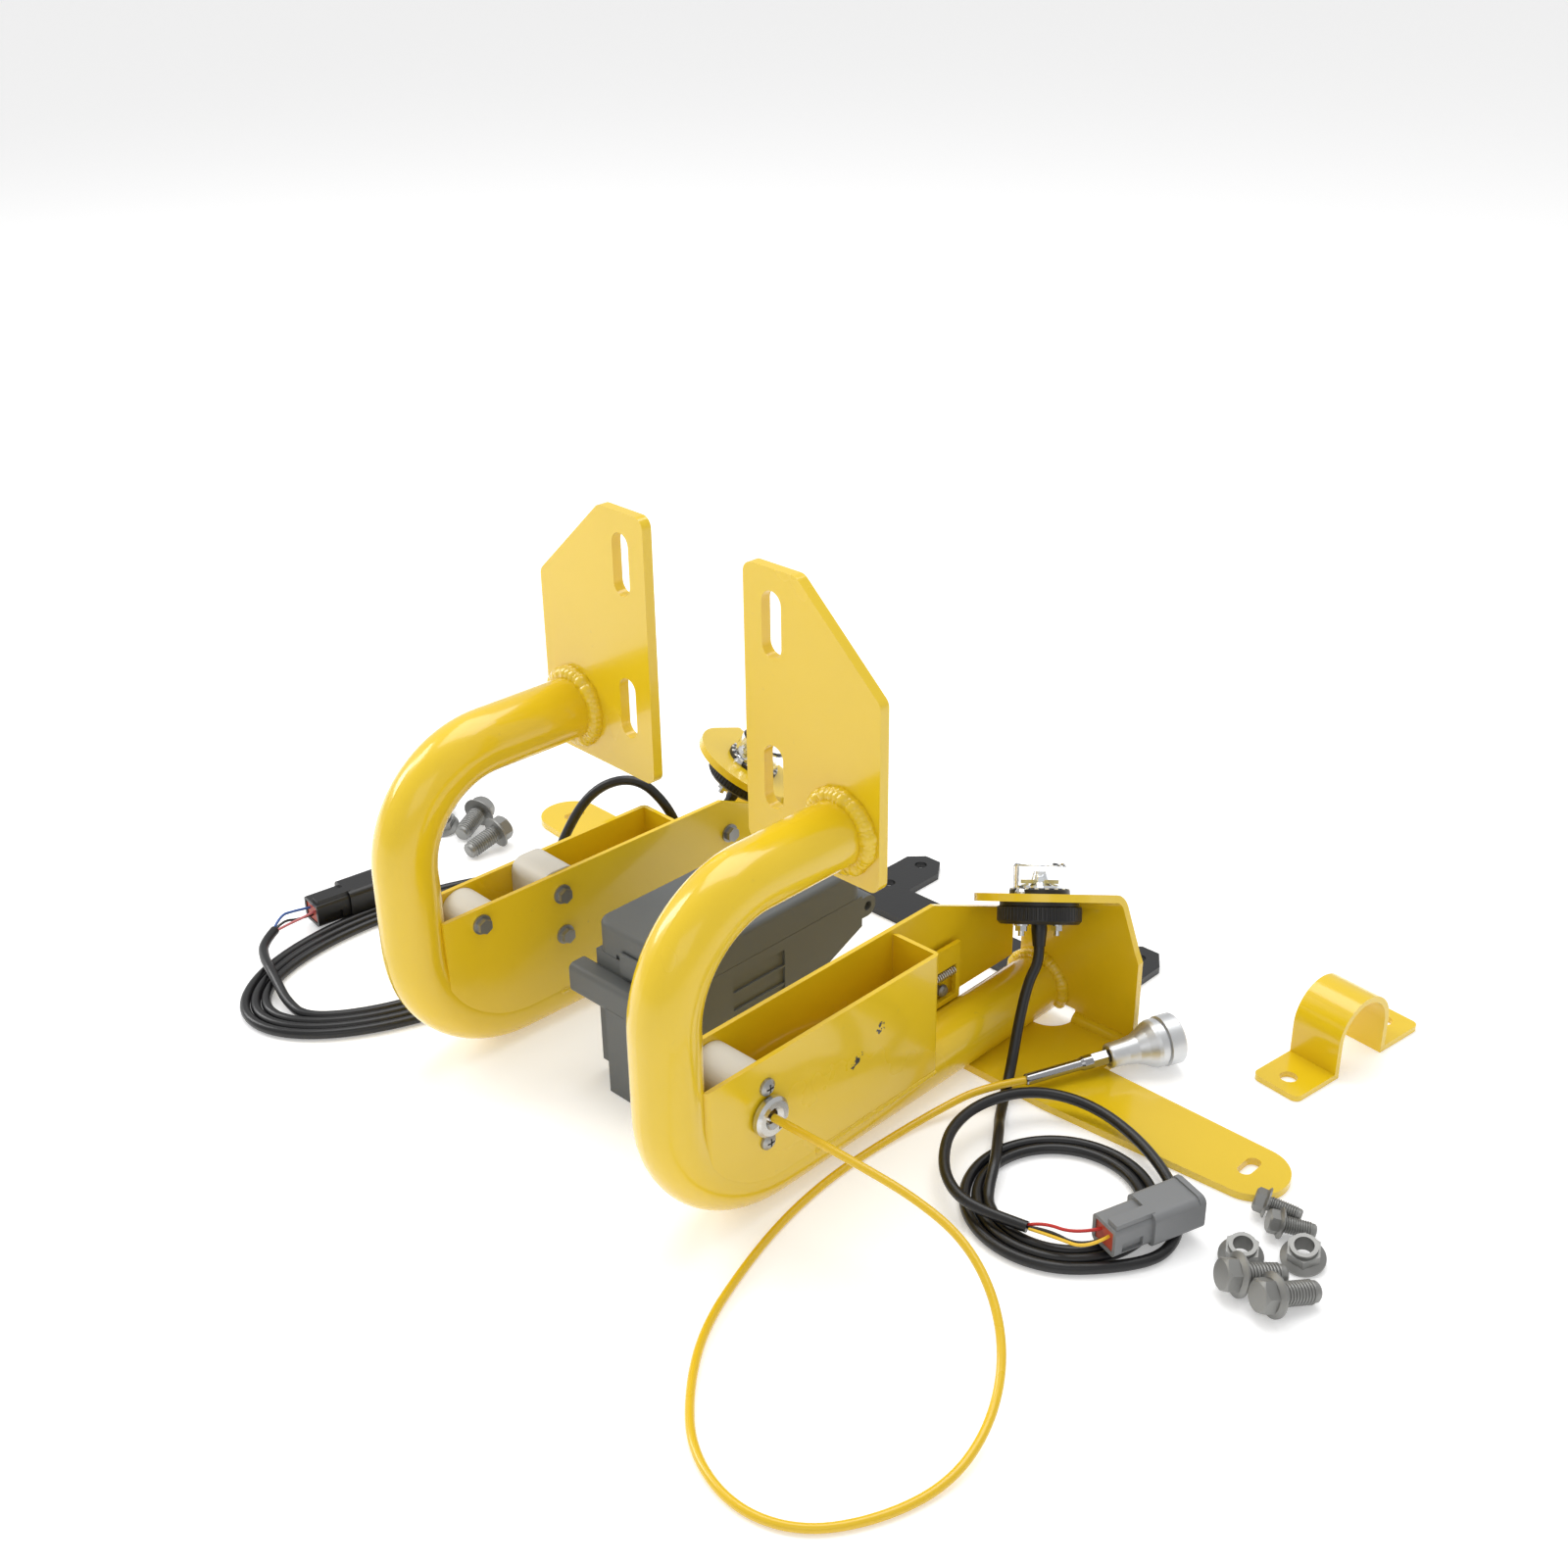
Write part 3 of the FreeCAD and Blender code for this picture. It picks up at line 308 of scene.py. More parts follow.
JACKET = Finish("yellow_jacket", (0.74, 0.48, 0.010), 0.24, coat=0.2, grain=500.0, bump=0.02, drift=0.04)
ALUMINIUM = Finish("turned_aluminium", (0.66, 0.67, 0.68), 0.42, metallic=0.95, grain=1300.0, bump=0.06,
                   drift=0.08)
MAGNET = Finish("dark_magnet", (0.10, 0.10, 0.11), 0.4, metallic=0.8, bump=0.05)
LED = Finish("led_chip", (0.80, 0.66, 0.22), 0.3, bump=0.02)
WHITE_MARK = Finish("white_segments", (0.75, 0.75, 0.74), 0.4, bump=0.02)


class WireColour(Enum):
    """Insulation colours of the short wires at the plugs."""
    RED = (0.50, 0.02, 0.015)
    BLACK = (0.012, 0.012, 0.012)
    YELLOW = (0.80, 0.50, 0.03)
    BLUE = (0.03, 0.10, 0.36)
    PINK = (0.55, 0.16, 0.18)


class Paintbox:
    """Builds each finish once and hands out its material."""

    def __init__(self) -> None:
        """Build the shared shader groups."""
        self.groups = {"skin": build_skin_group(), "scuff": build_scuff_group(), "chip": build_chip_group()}
        self.made: dict[str, bpy.types.Material] = {}

    def of(self, finish: Finish) -> bpy.types.Material:
        """The material of a finish."""
        if finish.name not in self.made:
            self.made[finish.name] = finish.build(self.groups)
        return self.made[finish.name]

    def wire(self, colour: WireColour) -> bpy.types.Material:
        """The material of a wire's insulation."""
        return self.of(Finish("wire_" + colour.name.lower(), colour.value, 0.35, bump=0.02))

    def dress(self, node: str, finish: Finish) -> None:
        """Give a CAD node its finish."""
        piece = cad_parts[node]
        piece.data.materials.clear()
        piece.data.materials.append(self.of(finish))
        log.info("dressed %s as %s", node, finish.name)


# ------------------------------------------------------------------ geometry nodes
def new_geometry_tree(name: str, inputs: dict[str, tuple[str, object]]) -> bpy.types.NodeTree:
    """Start a geometry node tree whose first input and output are geometry.

    Args:
        name: the tree's name.
        inputs: further input names with their socket type and default.
    Returns:
        The tree, with its end nodes named "in" and "out".
    """
    tree = bpy.data.node_groups.new(name, "GeometryNodeTree")
    tree.interface.new_socket("Geometry", in_out="INPUT", socket_type="NodeSocketGeometry")
    for label, (kind, value) in inputs.items():
        socket = tree.interface.new_socket(label, in_out="INPUT", socket_type=kind)
        if value is not None:
            socket.default_value = value
    tree.interface.new_socket("Geometry", in_out="OUTPUT", socket_type="NodeSocketGeometry")
    tree.nodes.new("NodeGroupInput").name = "in"
    tree.nodes.new("NodeGroupOutput").name = "out"
    return tree


def end_tree(tree: bpy.types.NodeTree, geometry: object) -> None:
    """Realize the instances, set the tree's material and close the tree."""
    real = tree.nodes.new("GeometryNodeRealizeInstances")
    dressed = tree.nodes.new("GeometryNodeSetMaterial")
    tree.links.new(geometry, real.inputs["Geometry"])
    tree.links.new(real.outputs["Geometry"], dressed.inputs["Geometry"])
    tree.links.new(tree.nodes["in"].outputs["Material"], dressed.inputs["Material"])
    tree.links.new(dressed.outputs["Geometry"], tree.nodes["out"].inputs["Geometry"])


def build_bead_tree() -> bpy.types.NodeTree:
    """A weld bead: overlapping puddles of uneven size along the object's own line."""
    tree = new_geometry_tree("weld_bead", {"Step": (FLOAT, 0.002), "Radius": (FLOAT, 0.004),
                                           "Seed": (WHOLE, 3), "Material": MATERIAL})
    source = tree.nodes["in"].outputs
    line = tree.nodes.new("GeometryNodeMeshToCurve")
    tree.links.new(source["Geometry"], line.inputs["Mesh"])
    spaced = tree.nodes.new("GeometryNodeResampleCurve")
    spaced.mode = "LENGTH"
    tree.links.new(line.outputs["Curve"], spaced.inputs["Curve"])
    tree.links.new(source["Step"], spaced.inputs["Length"])
    ball = tree.nodes.new("GeometryNodeMeshIcoSphere")
    ball.inputs["Subdivisions"].default_value = 2
    tree.links.new(source["Radius"], ball.inputs["Radius"])
    uneven = tree.nodes.new("FunctionNodeRandomValue")
    uneven.data_type = "FLOAT"
    uneven.inputs[2].default_value = 0.86
    uneven.inputs[3].default_value = 1.12
    tree.links.new(source["Seed"], uneven.inputs["Seed"])
    spread = tree.nodes.new("GeometryNodeInstanceOnPoints")
    tree.links.new(spaced.outputs["Curve"], spread.inputs["Points"])
    tree.links.new(ball.outputs["Mesh"], spread.inputs["Instance"])
    tree.links.new(uneven.outputs[1], spread.inputs["Scale"])
    end_tree(tree, spread.outputs["Instances"])
    return tree


def build_thread_tree() -> bpy.types.NodeTree:
    """Screw thread: ridges stacked along the shank, from the origin towards +Z."""
    tree = new_geometry_tree("screw_thread", {"Radius": (FLOAT, 0.006), "Pitch": (FLOAT, 0.00175),
                                              "Count": (WHOLE, 12), "Material": MATERIAL})
    source = tree.nodes["in"].outputs
    ring = tree.nodes.new("GeometryNodeCurvePrimitiveCircle")
    ring.inputs["Resolution"].default_value = 28
    tree.links.new(source["Radius"], ring.inputs["Radius"])
    ridge = tree.nodes.new("GeometryNodeCurvePrimitiveCircle")
    ridge.inputs["Resolution"].default_value = 4
    tree.links.new(arithmetic(tree, "MULTIPLY", source["Pitch"], RIDGE_SHARE), ridge.inputs["Radius"])
    solid = tree.nodes.new("GeometryNodeCurveToMesh")
    tree.links.new(ring.outputs["Curve"], solid.inputs["Curve"])
    tree.links.new(ridge.outputs["Curve"], solid.inputs["Profile Curve"])
    stack = tree.nodes.new("GeometryNodeMeshLine")
    tree.links.new(source["Count"], stack.inputs["Count"])
    step = tree.nodes.new("ShaderNodeCombineXYZ")
    tree.links.new(source["Pitch"], step.inputs["Z"])
    tree.links.new(step.outputs["Vector"], stack.inputs["Offset"])
    spread = tree.nodes.new("GeometryNodeInstanceOnPoints")
    tree.links.new(stack.outputs["Mesh"], spread.inputs["Points"])
    tree.links.new(solid.outputs["Mesh"], spread.inputs["Instance"])
    end_tree(tree, spread.outputs["Instances"])
    return tree


def build_segment_tree() -> bpy.types.NodeTree:
    """Small blocks spaced round a circle that faces +Z."""
    tree = new_geometry_tree("ring_segments", {"Radius": (FLOAT, 0.016), "Count": (WHOLE, 12),
                                               "Size": (VECTOR, (0.003, 0.002, 0.001)),
                                               "Material": MATERIAL})
    source = tree.nodes["in"].outputs
    ring = tree.nodes.new("GeometryNodeMeshCircle")
    tree.links.new(source["Count"], ring.inputs["Vertices"])
    tree.links.new(source["Radius"], ring.inputs["Radius"])
    block = tree.nodes.new("GeometryNodeMeshCube")
    tree.links.new(source["Size"], block.inputs["Size"])
    where = tree.nodes.new("GeometryNodeInputPosition")
    turn = tree.nodes.new("FunctionNodeAlignEulerToVector")
    turn.axis = "X"
    turn.pivot_axis = "Z"
    tree.links.new(where.outputs["Position"], turn.inputs["Vector"])
    spread = tree.nodes.new("GeometryNodeInstanceOnPoints")
    tree.links.new(ring.outputs["Mesh"], spread.inputs["Points"])
    tree.links.new(block.outputs["Mesh"], spread.inputs["Instance"])
    tree.links.new(turn.outputs["Rotation"], spread.inputs["Rotation"])
    end_tree(tree, spread.outputs["Instances"])
    return tree


class Workshop:
    """Builds plain mesh pieces from lines and geometry node trees."""

    def __init__(self, paints: Paintbox) -> None:
        """Keep the paints and build the three trees."""
        self.paints = paints
        self.bead = build_bead_tree()
        self.thread = build_thread_tree()
        self.segments = build_segment_tree()

    def run(self, name: str, tree: bpy.types.NodeTree, values: dict[str, object], finish: Finish,
            points: Sequence[Vector] = (), closed: bool = False, matrix: Optional[Matrix] = None,
            smooth: bool = True) -> bpy.types.Object:
        """Evaluate a tree on a line of points and keep the result as a plain mesh.

        Args:
            name: the new piece's name.
            tree: the geometry node tree.
            values: the tree's inputs by name.
            finish: the finish that the tree sets.
            points: the line that the tree works on, in metres.
            closed: whether the line returns to its start.
            matrix: moves the result into place in the row frame.
            smooth: whether its faces are shaded smooth.
        Returns:
            The finished object, at the origin.
        """
        spots = list(points) or [Vector((0, 0, 0))]
        edges = [(i, i + 1) for i in range(len(spots) - 1)]
        if closed:
            edges.append((len(spots) - 1, 0))
        base = bpy.data.meshes.new(name + "_line")
        base.from_pydata([tuple(p) for p in spots], edges, [])
        worker = bpy.data.objects.new(name + "_worker", base)
        bpy.context.collection.objects.link(worker)
        modifier = worker.modifiers.new("build", "NODES")
        modifier.node_group = tree
        for item in tree.interface.items_tree:
            if item.item_type == "SOCKET" and item.in_out == "INPUT" and item.name in values:
                modifier[item.identifier] = values[item.name]
            if item.item_type == "SOCKET" and item.in_out == "INPUT" and item.name == "Material":
                modifier[item.identifier] = self.paints.of(finish)
        graph = bpy.context.evaluated_depsgraph_get()
        mesh = bpy.data.meshes.new_from_object(worker.evaluated_get(graph))
        worker.modifiers.clear()
        bpy.data.objects.remove(worker)
        if matrix is not None:
            mesh.transform(matrix)
        mesh.name = name
        mesh.polygons.foreach_set("use_smooth", [smooth] * len(mesh.polygons))
        piece = bpy.data.objects.new(name, mesh)
        bpy.context.collection.objects.link(piece)
        log.info("piece %s: %d faces", name, len(mesh.polygons))
        return piece


# ------------------------------------------------------------------ cords
@dataclass
class Cord:
    """A free cord: one smooth spline through given points, with a round section."""
    name: str
    diameter: float
    finish: Finish

    def lay(self, paints: Paintbox, points: Sequence[Vector], material: Optional[bpy.types.Material] = None
            ) -> bpy.types.Object:
        """Make the cord's curve.

        Args:
            paints: gives the finish.
            points: the route in metres in the row frame.
            material: used in place of the cord's finish.
        Returns:
            The curve object.
        """
        curve = bpy.data.curves.new(self.name, "CURVE")
        curve.dimensions = "3D"
        curve.bevel_depth = self.diameter * MM / 2
        curve.bevel_resolution = 5
        curve.resolution_u = 8
        curve.use_fill_caps = True
        spline = curve.splines.new("NURBS")
        spline.points.add(len(points) - 1)
        for knot, spot in zip(spline.points, points):
            knot.co = (*spot, 1.0)
        spline.order_u = 3
        spline.use_endpoint_u = True
        curve.materials.append(material or paints.of(self.finish))
        piece = bpy.data.objects.new(self.name, curve)
        bpy.context.collection.objects.link(piece)
        return piece

    @staticmethod
    def length(piece: bpy.types.Object) -> float:
        """The centreline's length of a laid cord, in metres."""
        bare = piece.copy()
        bare.data = piece.data.copy()
        bare.data.bevel_depth = 0
        bpy.context.collection.objects.link(bare)
        graph = bpy.context.evaluated_depsgraph_get()
        mesh = bpy.data.meshes.new_from_object(bare.evaluated_get(graph))
        spots = [vertex.co for vertex in mesh.vertices]
        total = sum((spots[a] - spots[b]).length for a, b in (edge.vertices for edge in mesh.edges))
        bpy.data.objects.remove(bare)
        bpy.data.meshes.remove(mesh)
        return total


@dataclass
class Flange:
    """The beacon flange's own frame, in the right arm's millimetres."""
    fold_point: Vector = field(default_factory=lambda: Vector((61.0, 330.0, 105.0)))
    up: Vector = field(default_factory=lambda: Vector((-0.331, 0.381, 0.863)))
    radius: float = 41.0
    straight: float = 31.0

    def point(self, along: float, out: float, up: float) -> Vector:
        """A point by its place on the flange, from the beacon's centre on the lower face.

        Args:
            along: distance along the fold.
            out: distance away from the fold.
            up: distance above the lower face.
        Returns:
            The point in millimetres in the arm's frame.
        """
        fold = Vector((0, 1, 0)).cross(self.up).normalized()
        away = fold.cross(self.up).normalized()
        centre = self.fold_point - fold * self.radius + away * self.straight
        return centre + fold * along + away * out + self.up.normalized() * up

    def mouth(self) -> list[Vector]:
        """Where a lead leaves its boot, and the next point straight below it."""
        end = self.point(0, 0, -28.0)
        return [end, end - self.up * 9.0 + Vector((0.4, 0, 0))]


@dataclass
class Coil:
    """Loose turns of a lead on the floor, as more points of the lead's own spline."""
    centre: tuple[float, float]
    start_angle: float
    turns: float
    half_x: tuple[float, float]
    half_y: tuple[float, float]
    clockwise: bool
    skew: float = 0.0
    rest: float = 3.5
    points_per_turn: int = 16

    def points(self) -> list[Point]:
        """Work out the turns, each a little wider or narrower than the one before.

        Returns:
            Points in millimetres in the workshop frame.
        """
        count = int(self.turns * self.points_per_turn)
        spots = []
        for i in range(count + 1):
            t = i / count
            angle = self.start_angle + (-1 if self.clockwise else 1) * t * self.turns * math.tau
            half_x = self.half_x[0] + (self.half_x[1] - self.half_x[0]) * t
            half_y = self.half_y[0] + (self.half_y[1] - self.half_y[0]) * t
            spots.append((self.centre[0] + half_x * math.cos(angle) + self.skew * math.sin(angle),
                          self.centre[1] + half_y * math.sin(angle), self.rest))
        return spots


class Lead:
    """A beacon's lead: from its boot to a coil on the floor and a plug with three short wires."""

    def __init__(self, side: Side, paints: Paintbox, diameter: float = 6.8) -> None:
        """Keep the side, the paints and the lead's diameter in millimetres."""
        self.side = side
        self.paints = paints
        self.diameter = diameter

    def node(self, name: str) -> str:
        """A CAD node's name on this side."""
        return self.side.value + "_" + name

    def route(self) -> list[Vector]:
        """The whole route in metres: drop, coil and tail."""
        mouth = [place(p, self.side) for p in Flange().mouth()]
        if self.side is Side.RIGHT:
            drop = [(31, 277, 59), (35, 264, 38), (41, 251, 18), (46, 241, 9.3), (51, 231, 4.4),
                    (58, 219, 3.8), (66, 207, 6.0), (73, 198, 10.2), (80, 188, 11.2), (87, 178, 11.2),
                    (94, 167, 10.6), (99, 157, 6.5), (104, 149.5, 3.8)]
            coil = Coil((136, 178), math.radians(232), 2.25, (43, 59.5), (43, 59.5), False)
            loop = [(202.5, 168, 3.5), (205, 187, 4.2), (195, 210, 5), (176, 229, 7), (153, 241, 9.6),
                    (132, 247.5, 11.5), (112, 250, 13.5), (93, 247, 15.5), (77, 238, 17.5), (65.5, 223, 19.5),
                    (58.5, 204, 20), (57, 185, 20), (61, 166, 19.5), (70, 150, 18.5), (81, 137.5, 17.5),
                    (93, 130, 16.5), (104, 127.5, 15.3), (116, 129.5, 13.8), (128, 133, 12.6),
                    (142, 136.8, 12.2)]
            return mouth + [place(p) for p in drop + coil.points() + loop]
        drop = [(27, 276, 56), (20, 255, 45), (9, 237, 51), (3, 223, 74), (6, 216, 105), (24, 202, 129),
                (48, 181, 118), (60, 161, 80), (64, 150, 44), (65, 141, 18)]
        coil = Coil((-352, 94), math.radians(14), 3.233, (79, 55.5), (142, 118), True, 12.0)
        tail = [(-366, -16, 5.5), (-384, -11, 9.3), (-398, -7, 11.8), (-416, -1, 12), (-432, 8, 12),
                (-441, 23.5, 12.5)]
        return mouth + [place(p, Side.LEFT) for p in drop] + [place(p) for p in coil.points() + tail]

    def wires(self, start: Vector) -> list[bpy.types.Object]:
        """The short wires between the jacket's end and the plug.

        Args:
            start: the jacket's end in metres.
        Returns:
            The three wires.
        """
        if self.side is Side.RIGHT:
            plug, away = ((181, 154, 0), (199.5, 211, 0))
            colours = (WireColour.YELLOW, WireColour.BLACK, WireColour.RED)
            rise, leaving = 8.0, Vector((0.95, 0.18, 0.22))
        else:
            plug, away = ((-442, 55, 0), (-434, 115, 0))
            colours = (WireColour.PINK, WireColour.BLACK, WireColour.BLUE)
            rise, leaving = 3.0, Vector((-0.25, 0.92, 0.2))
        heading = (Vector(away) - Vector(plug)).normalized()
        across = Vector((-heading.y, heading.x, 0))
        made = []
        for i, colour in enumerate(colours):
            side_step = (i - 1) * 3.5
            upward = Vector((0, 0, rise + 8 + 4.2 * (i != 1)))
            socket = Vector(plug) + heading * 1.5 + across * side_step + upward
            end = place(socket)
            reach = (end - start).length
            spread = across * MM * (i - 1) * 1.6
            begin = start + spread
            route = [begin, begin + leaving * (0.3 * reach) + spread * 2.4 + Vector((0, 0, 0.0012 * i)),
                     end - heading * (0.38 * reach) + across * MM * side_step * 0.9, end]
            cord = Cord(self.node("wire_" + colour.name.lower()), 1.9, RUBBER)
            made.append(cord.lay(self.paints, route, self.paints.wire(colour)))
        return made

    def build(self) -> None:
        points = self.route()
        cord = Cord(self.node("beacon_lead"), self.diameter, RUBBER)
        lead = cord.lay(self.paints, points)
        wires = self.wires(points[-1])
        for piece in [lead] + wires:
            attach(piece, Body.KIT.value)
        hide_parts(self.node("lead"), self.node("lead_coil"))
        for wire in wires:
            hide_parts(self.node("connector_wires"))
        length = cord.length(lead)
        log.info("%s lead %.3f m", self.side.value, length)
        self.dress_plug()

    def dress_plug(self) -> None:
        """Give the plug and the boot their finishes."""
        shell = PLUG_GREY if self.side is Side.RIGHT else BLACK_PLASTIC
        self.paints.dress(self.node("connector_body"), shell)
        self.paints.dress(self.node("connector_seal"), SEAL)
        self.paints.dress(self.node("connector_wedge"), PLUG_GREY if self.side is Side.RIGHT else WEDGE)
        self.paints.dress(self.node("lead_boot"), RUBBER)


@dataclass
class TripCable:
    """The yellow cable that is pulled to stop the machine, its wire and its magnetic end."""
    diameter: float = 5.0
    wire_diameter: float = 2.6
    route: tuple[Point, ...] = (
        (24.6, 55.5, 71.5), (48, 57.5, 70.5), (80, 62, 66.5), (116, 69, 59), (150, 70, 50), (180, 59, 37),
        (204, 38, 22), (219, 8, 9), (224, -28, 3), (214, -66, 2.6), (192, -98, 2.6), (158, -110, 2.6),
        (118, -99, 2.6), (86, -70, 2.6), (60, -34, 2.6), (42, 14, 2.6), (30, 58, 2.6), (24, 104, 2.6),
        (25, 150, 2.7), (31, 192, 6), (42, 220, 13.2), (56.5, 244.5, 13.2))
    wire_route: tuple[Point, ...] = (
        (24.2, 55.5, 71.5), (8, 56, 71), (-4, 60, 71), (-10.5, 71, 73), (-12, 88, 76), (-12.2, 112, 77),
        (-12, 140, 72), (-12.2, 166, 65.5), (-12, 188, 62.6), (-12.1, 205.4, 62))
    fittings: tuple[tuple[str, Finish], ...] = (
        ("cable_sleeve", CHROME), ("swivel_stud", CHROME), ("magnet_cone", ALUMINIUM),
        ("magnet_cup", ALUMINIUM), ("magnet_disc", MAGNET))

    def build(self, paints: Paintbox) -> None:
        """Lay the cable and its wire, and dress the magnetic end.

        Args:
            paints: gives the finishes.
        """
        cord = Cord("pull_cable", self.diameter, JACKET)
        points = [place(p) for p in self.route]
        cable = cord.lay(paints, points)
        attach(cable, Body.KIT.value)
        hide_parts("trip_cable")
        round(cord.length(cable), 3)
        inner = Cord("switch_wire", self.wire_diameter, BRIGHT)
        steps = [place(p) for p in self.wire_route]
        wire = inner.lay(paints, steps)
        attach(wire, Body.KIT.value)
        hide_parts("pull_wire")
        round(inner.length(wire), 3)
        for node, finish in self.fittings:
            paints.dress(node, finish)
        log.info("trip cable laid")


# ------------------------------------------------------------------ sub-assemblies
@dataclass
class HookArm:
    """One yellow arm with its channel, bracket and beacon."""
    side: Side
    tube_radius: float = 20.0
    plate_face: float = 137.6
    leg_height: float = 211.5
    wall: float = 19.5
    flange: Flange = field(default_factory=Flange)

    def node(self, name: str) -> str:
        """A CAD node's name on this side."""
        return self.side.value + "_" + name

    def dress(self, paints: Paintbox) -> None:
        """Give every CAD piece of the arm its finish."""
        looks = {"hook_tube": POWDER, "mount_plate": POWDER, "side_plate": POWDER, "channel_cover": POWDER,
                 "beacon_bracket": POWDER, "front_block": NYLON, "side_screws": SCREW_STEEL,
                 "beacon_base": BLACK_PLASTIC, "beacon_bezel": BLACK_PLASTIC, "beacon_lens": LENS,
                 "beacon_reflector": MIRROR, "beacon_screws": BRIGHT}
        if self.side is Side.RIGHT:
            looks["channel_cover"] = POWDER_CHIPPED
        else:
            looks["rear_block"] = NYLON
        for name, finish in looks.items():
            paints.dress(self.node(name), finish)

    def seam(self, shop: Workshop, name: str, points: Iterable[Sequence[float]], radius: float,
             closed: bool = False, seed: int = 3) -> None:
        """Lay one painted weld bead.

        Args:
            shop: builds the piece.
            name: the seam's name.
            points: its line in millimetres in the arm's frame.
            radius: the bead's radius in millimetres.
            closed: whether the seam goes all round.
            seed: makes the seam's own unevenness.
        """
        line = [place(p, self.side) for p in points]
        values = {"Step": radius * 0.55 * MM, "Radius": radius * MM, "Seed": seed}
        piece = shop.run(self.node(name), shop.bead, values, POWDER, line, closed)
        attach(piece, Body.KIT.value)

    def build(self, shop: Workshop) -> None:
        """Add the welds and the beacon's inner parts."""
        ring = self.tube_radius + 0.6
        around = [(ring * math.cos(a), self.plate_face - 1.0, self.leg_height + ring * math.sin(a))
                  for a in (math.tau * i / 40 for i in range(40))]
        self.seam(shop, "plate_weld", around, 6.4, True, 5)
        foot = [(ring * math.cos(a), 329.0, 20 + ring * math.sin(a))
                for a in (math.pi * (-0.12 + 1.24 * i / 30) for i in range(31))]
        self.seam(shop, "bracket_weld", foot, 4.6, False, 8)
        out = self.wall - 0.4
        base = 20 + math.sqrt(max(0.0, self.tube_radius ** 2 - (self.wall - 1.5) ** 2)) - 1.0
        self.seam(shop, "cover_weld", [(out, y, base - 4.6) for y in range(96, 203, 5)], 1.9, False, 11)
        self.seam(shop, "side_weld", [(-out, y, base - 4.6) for y in range(96, 262, 5)], 1.9, False, 12)
        self.beacon(shop)

    def beacon(self, shop: Workshop) -> None:
        """Add the light segments of the bezel and the chips under the lens."""
        up = aim(self.flange.up, self.side)
        for name, height, radius, count, size, finish, slot in (
                ("bezel_marks", 8.2, 17.9, 18, (1.6, 2.4, 0.8), WHITE_MARK, "black_plastic"),
                ("light_chips", 12.6, 9.5, 6, (4.6, 3.0, 2.4), LED, "reflector")):
            centre = place(self.flange.point(0, 0, height), self.side)
            turn = up.to_track_quat("Z", "Y").to_matrix().to_4x4()
            values = {"Radius": radius * MM, "Count": count, "Size": [s * MM for s in size]}
            piece = shop.run(self.node(name), shop.segments, values, finish,
                             matrix=Matrix.Translation(centre) @ turn, smooth=False)
            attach(piece, Body.KIT.value)


@dataclass
class TripSwitch:
    """The guide, slider, spring and screws of the right arm's switch."""
    finishes: dict[str, Finish] = field(default_factory=lambda: {
        "cable_guide": BRIGHT, "guide_screws": SCREW_STEEL, "pull_slider": POWDER, "return_spring": BRIGHT,
        "slider_screw": ZINC})

    def dress(self, paints: Paintbox) -> None:
        """Give the switch's CAD pieces their finishes."""
        for node, finish in self.finishes.items():
            paints.dress(node, finish)


@dataclass
class ControlBox:
    """The grey box with its lid, latch and hinge pin."""
    nodes: tuple[str, ...] = ("box_base", "box_lid", "box_latch")

    def dress(self, paints: Paintbox) -> None:
        """Give the box's CAD pieces their finishes."""
        for node in self.nodes:
            paints.dress(node, GREY_PLASTIC)
        paints.dress("box_hinge_pin", ZINC)


@dataclass(frozen=True)
class Bolt:
    """Where one loose flange bolt lies: its head's place, its heading and its thread."""
    name: str
    at: tuple[float, float]
    heading: float
    size: float
    pitch: float
    flange_share: float = 1.05
    flange_thick_share: float = 0.2
    length_share: float = 2.5
    thread_start_share: float = 0.45
    threaded_share: float = 0.78
    root_depth: float = 0.05


@dataclass
class LooseHardware:
    """The clamp, the black frame and the loose bolts and nuts with their threads."""
    bolts: tuple[Bolt, ...] = (
        Bolt("bolt_thread_1", (247.5, 182), math.radians(57), 12.0, 2.0),
        Bolt("bolt_thread_2", (270, 181), math.radians(64), 12.0, 2.0),
        Bolt("bolt_thread_3", (-477, 234), math.radians(-69), 12.0, 2.0),
        Bolt("bolt_thread_4", (-440.6, 223), math.radians(-90), 12.0, 2.0),
        Bolt("screw_thread_1", (224.5, 249.5), math.radians(22), 8.5, 1.4),
        Bolt("screw_thread_2", (239.5, 239), math.radians(37), 8.5, 1.4))

    def dress(self, paints: Paintbox) -> None:
        """Give the loose CAD pieces their finishes."""
        for node, finish in (("black_frame", BLACK_STEEL), ("saddle_clamp", POWDER), ("mount_bolts", ZINC),
                             ("lock_nuts", ZINC), ("small_screws", ZINC)):
            paints.dress(node, finish)

    def build(self, shop: Workshop) -> None:
        """Cut a thread on each bolt's shank."""
        for bolt in self.bolts:
            flange = bolt.size * bolt.flange_share
            length = bolt.size * bolt.length_share
            droop = math.atan2(flange - bolt.size / 2, length)
            lift = flange * math.cos(droop) + bolt.size * bolt.flange_thick_share * math.sin(droop) + 0.1
            level = math.cos(droop)
            ahead = Vector((math.cos(bolt.heading) * level, math.sin(bolt.heading) * level, -math.sin(droop)))
            start = place(Vector((*bolt.at, lift)) + ahead * (bolt.size * bolt.thread_start_share))
            turn = ahead.to_track_quat("Z", "Y").to_matrix().to_4x4()
            count = int(length * bolt.threaded_share / bolt.pitch)
            values = {"Radius": (bolt.size / 2 - bolt.root_depth) * MM, "Pitch": bolt.pitch * MM,
                      "Count": count}
            piece = shop.run(bolt.name, shop.thread, values, ZINC, matrix=Matrix.Translation(start) @ turn)
            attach(piece, Body.KIT.value)


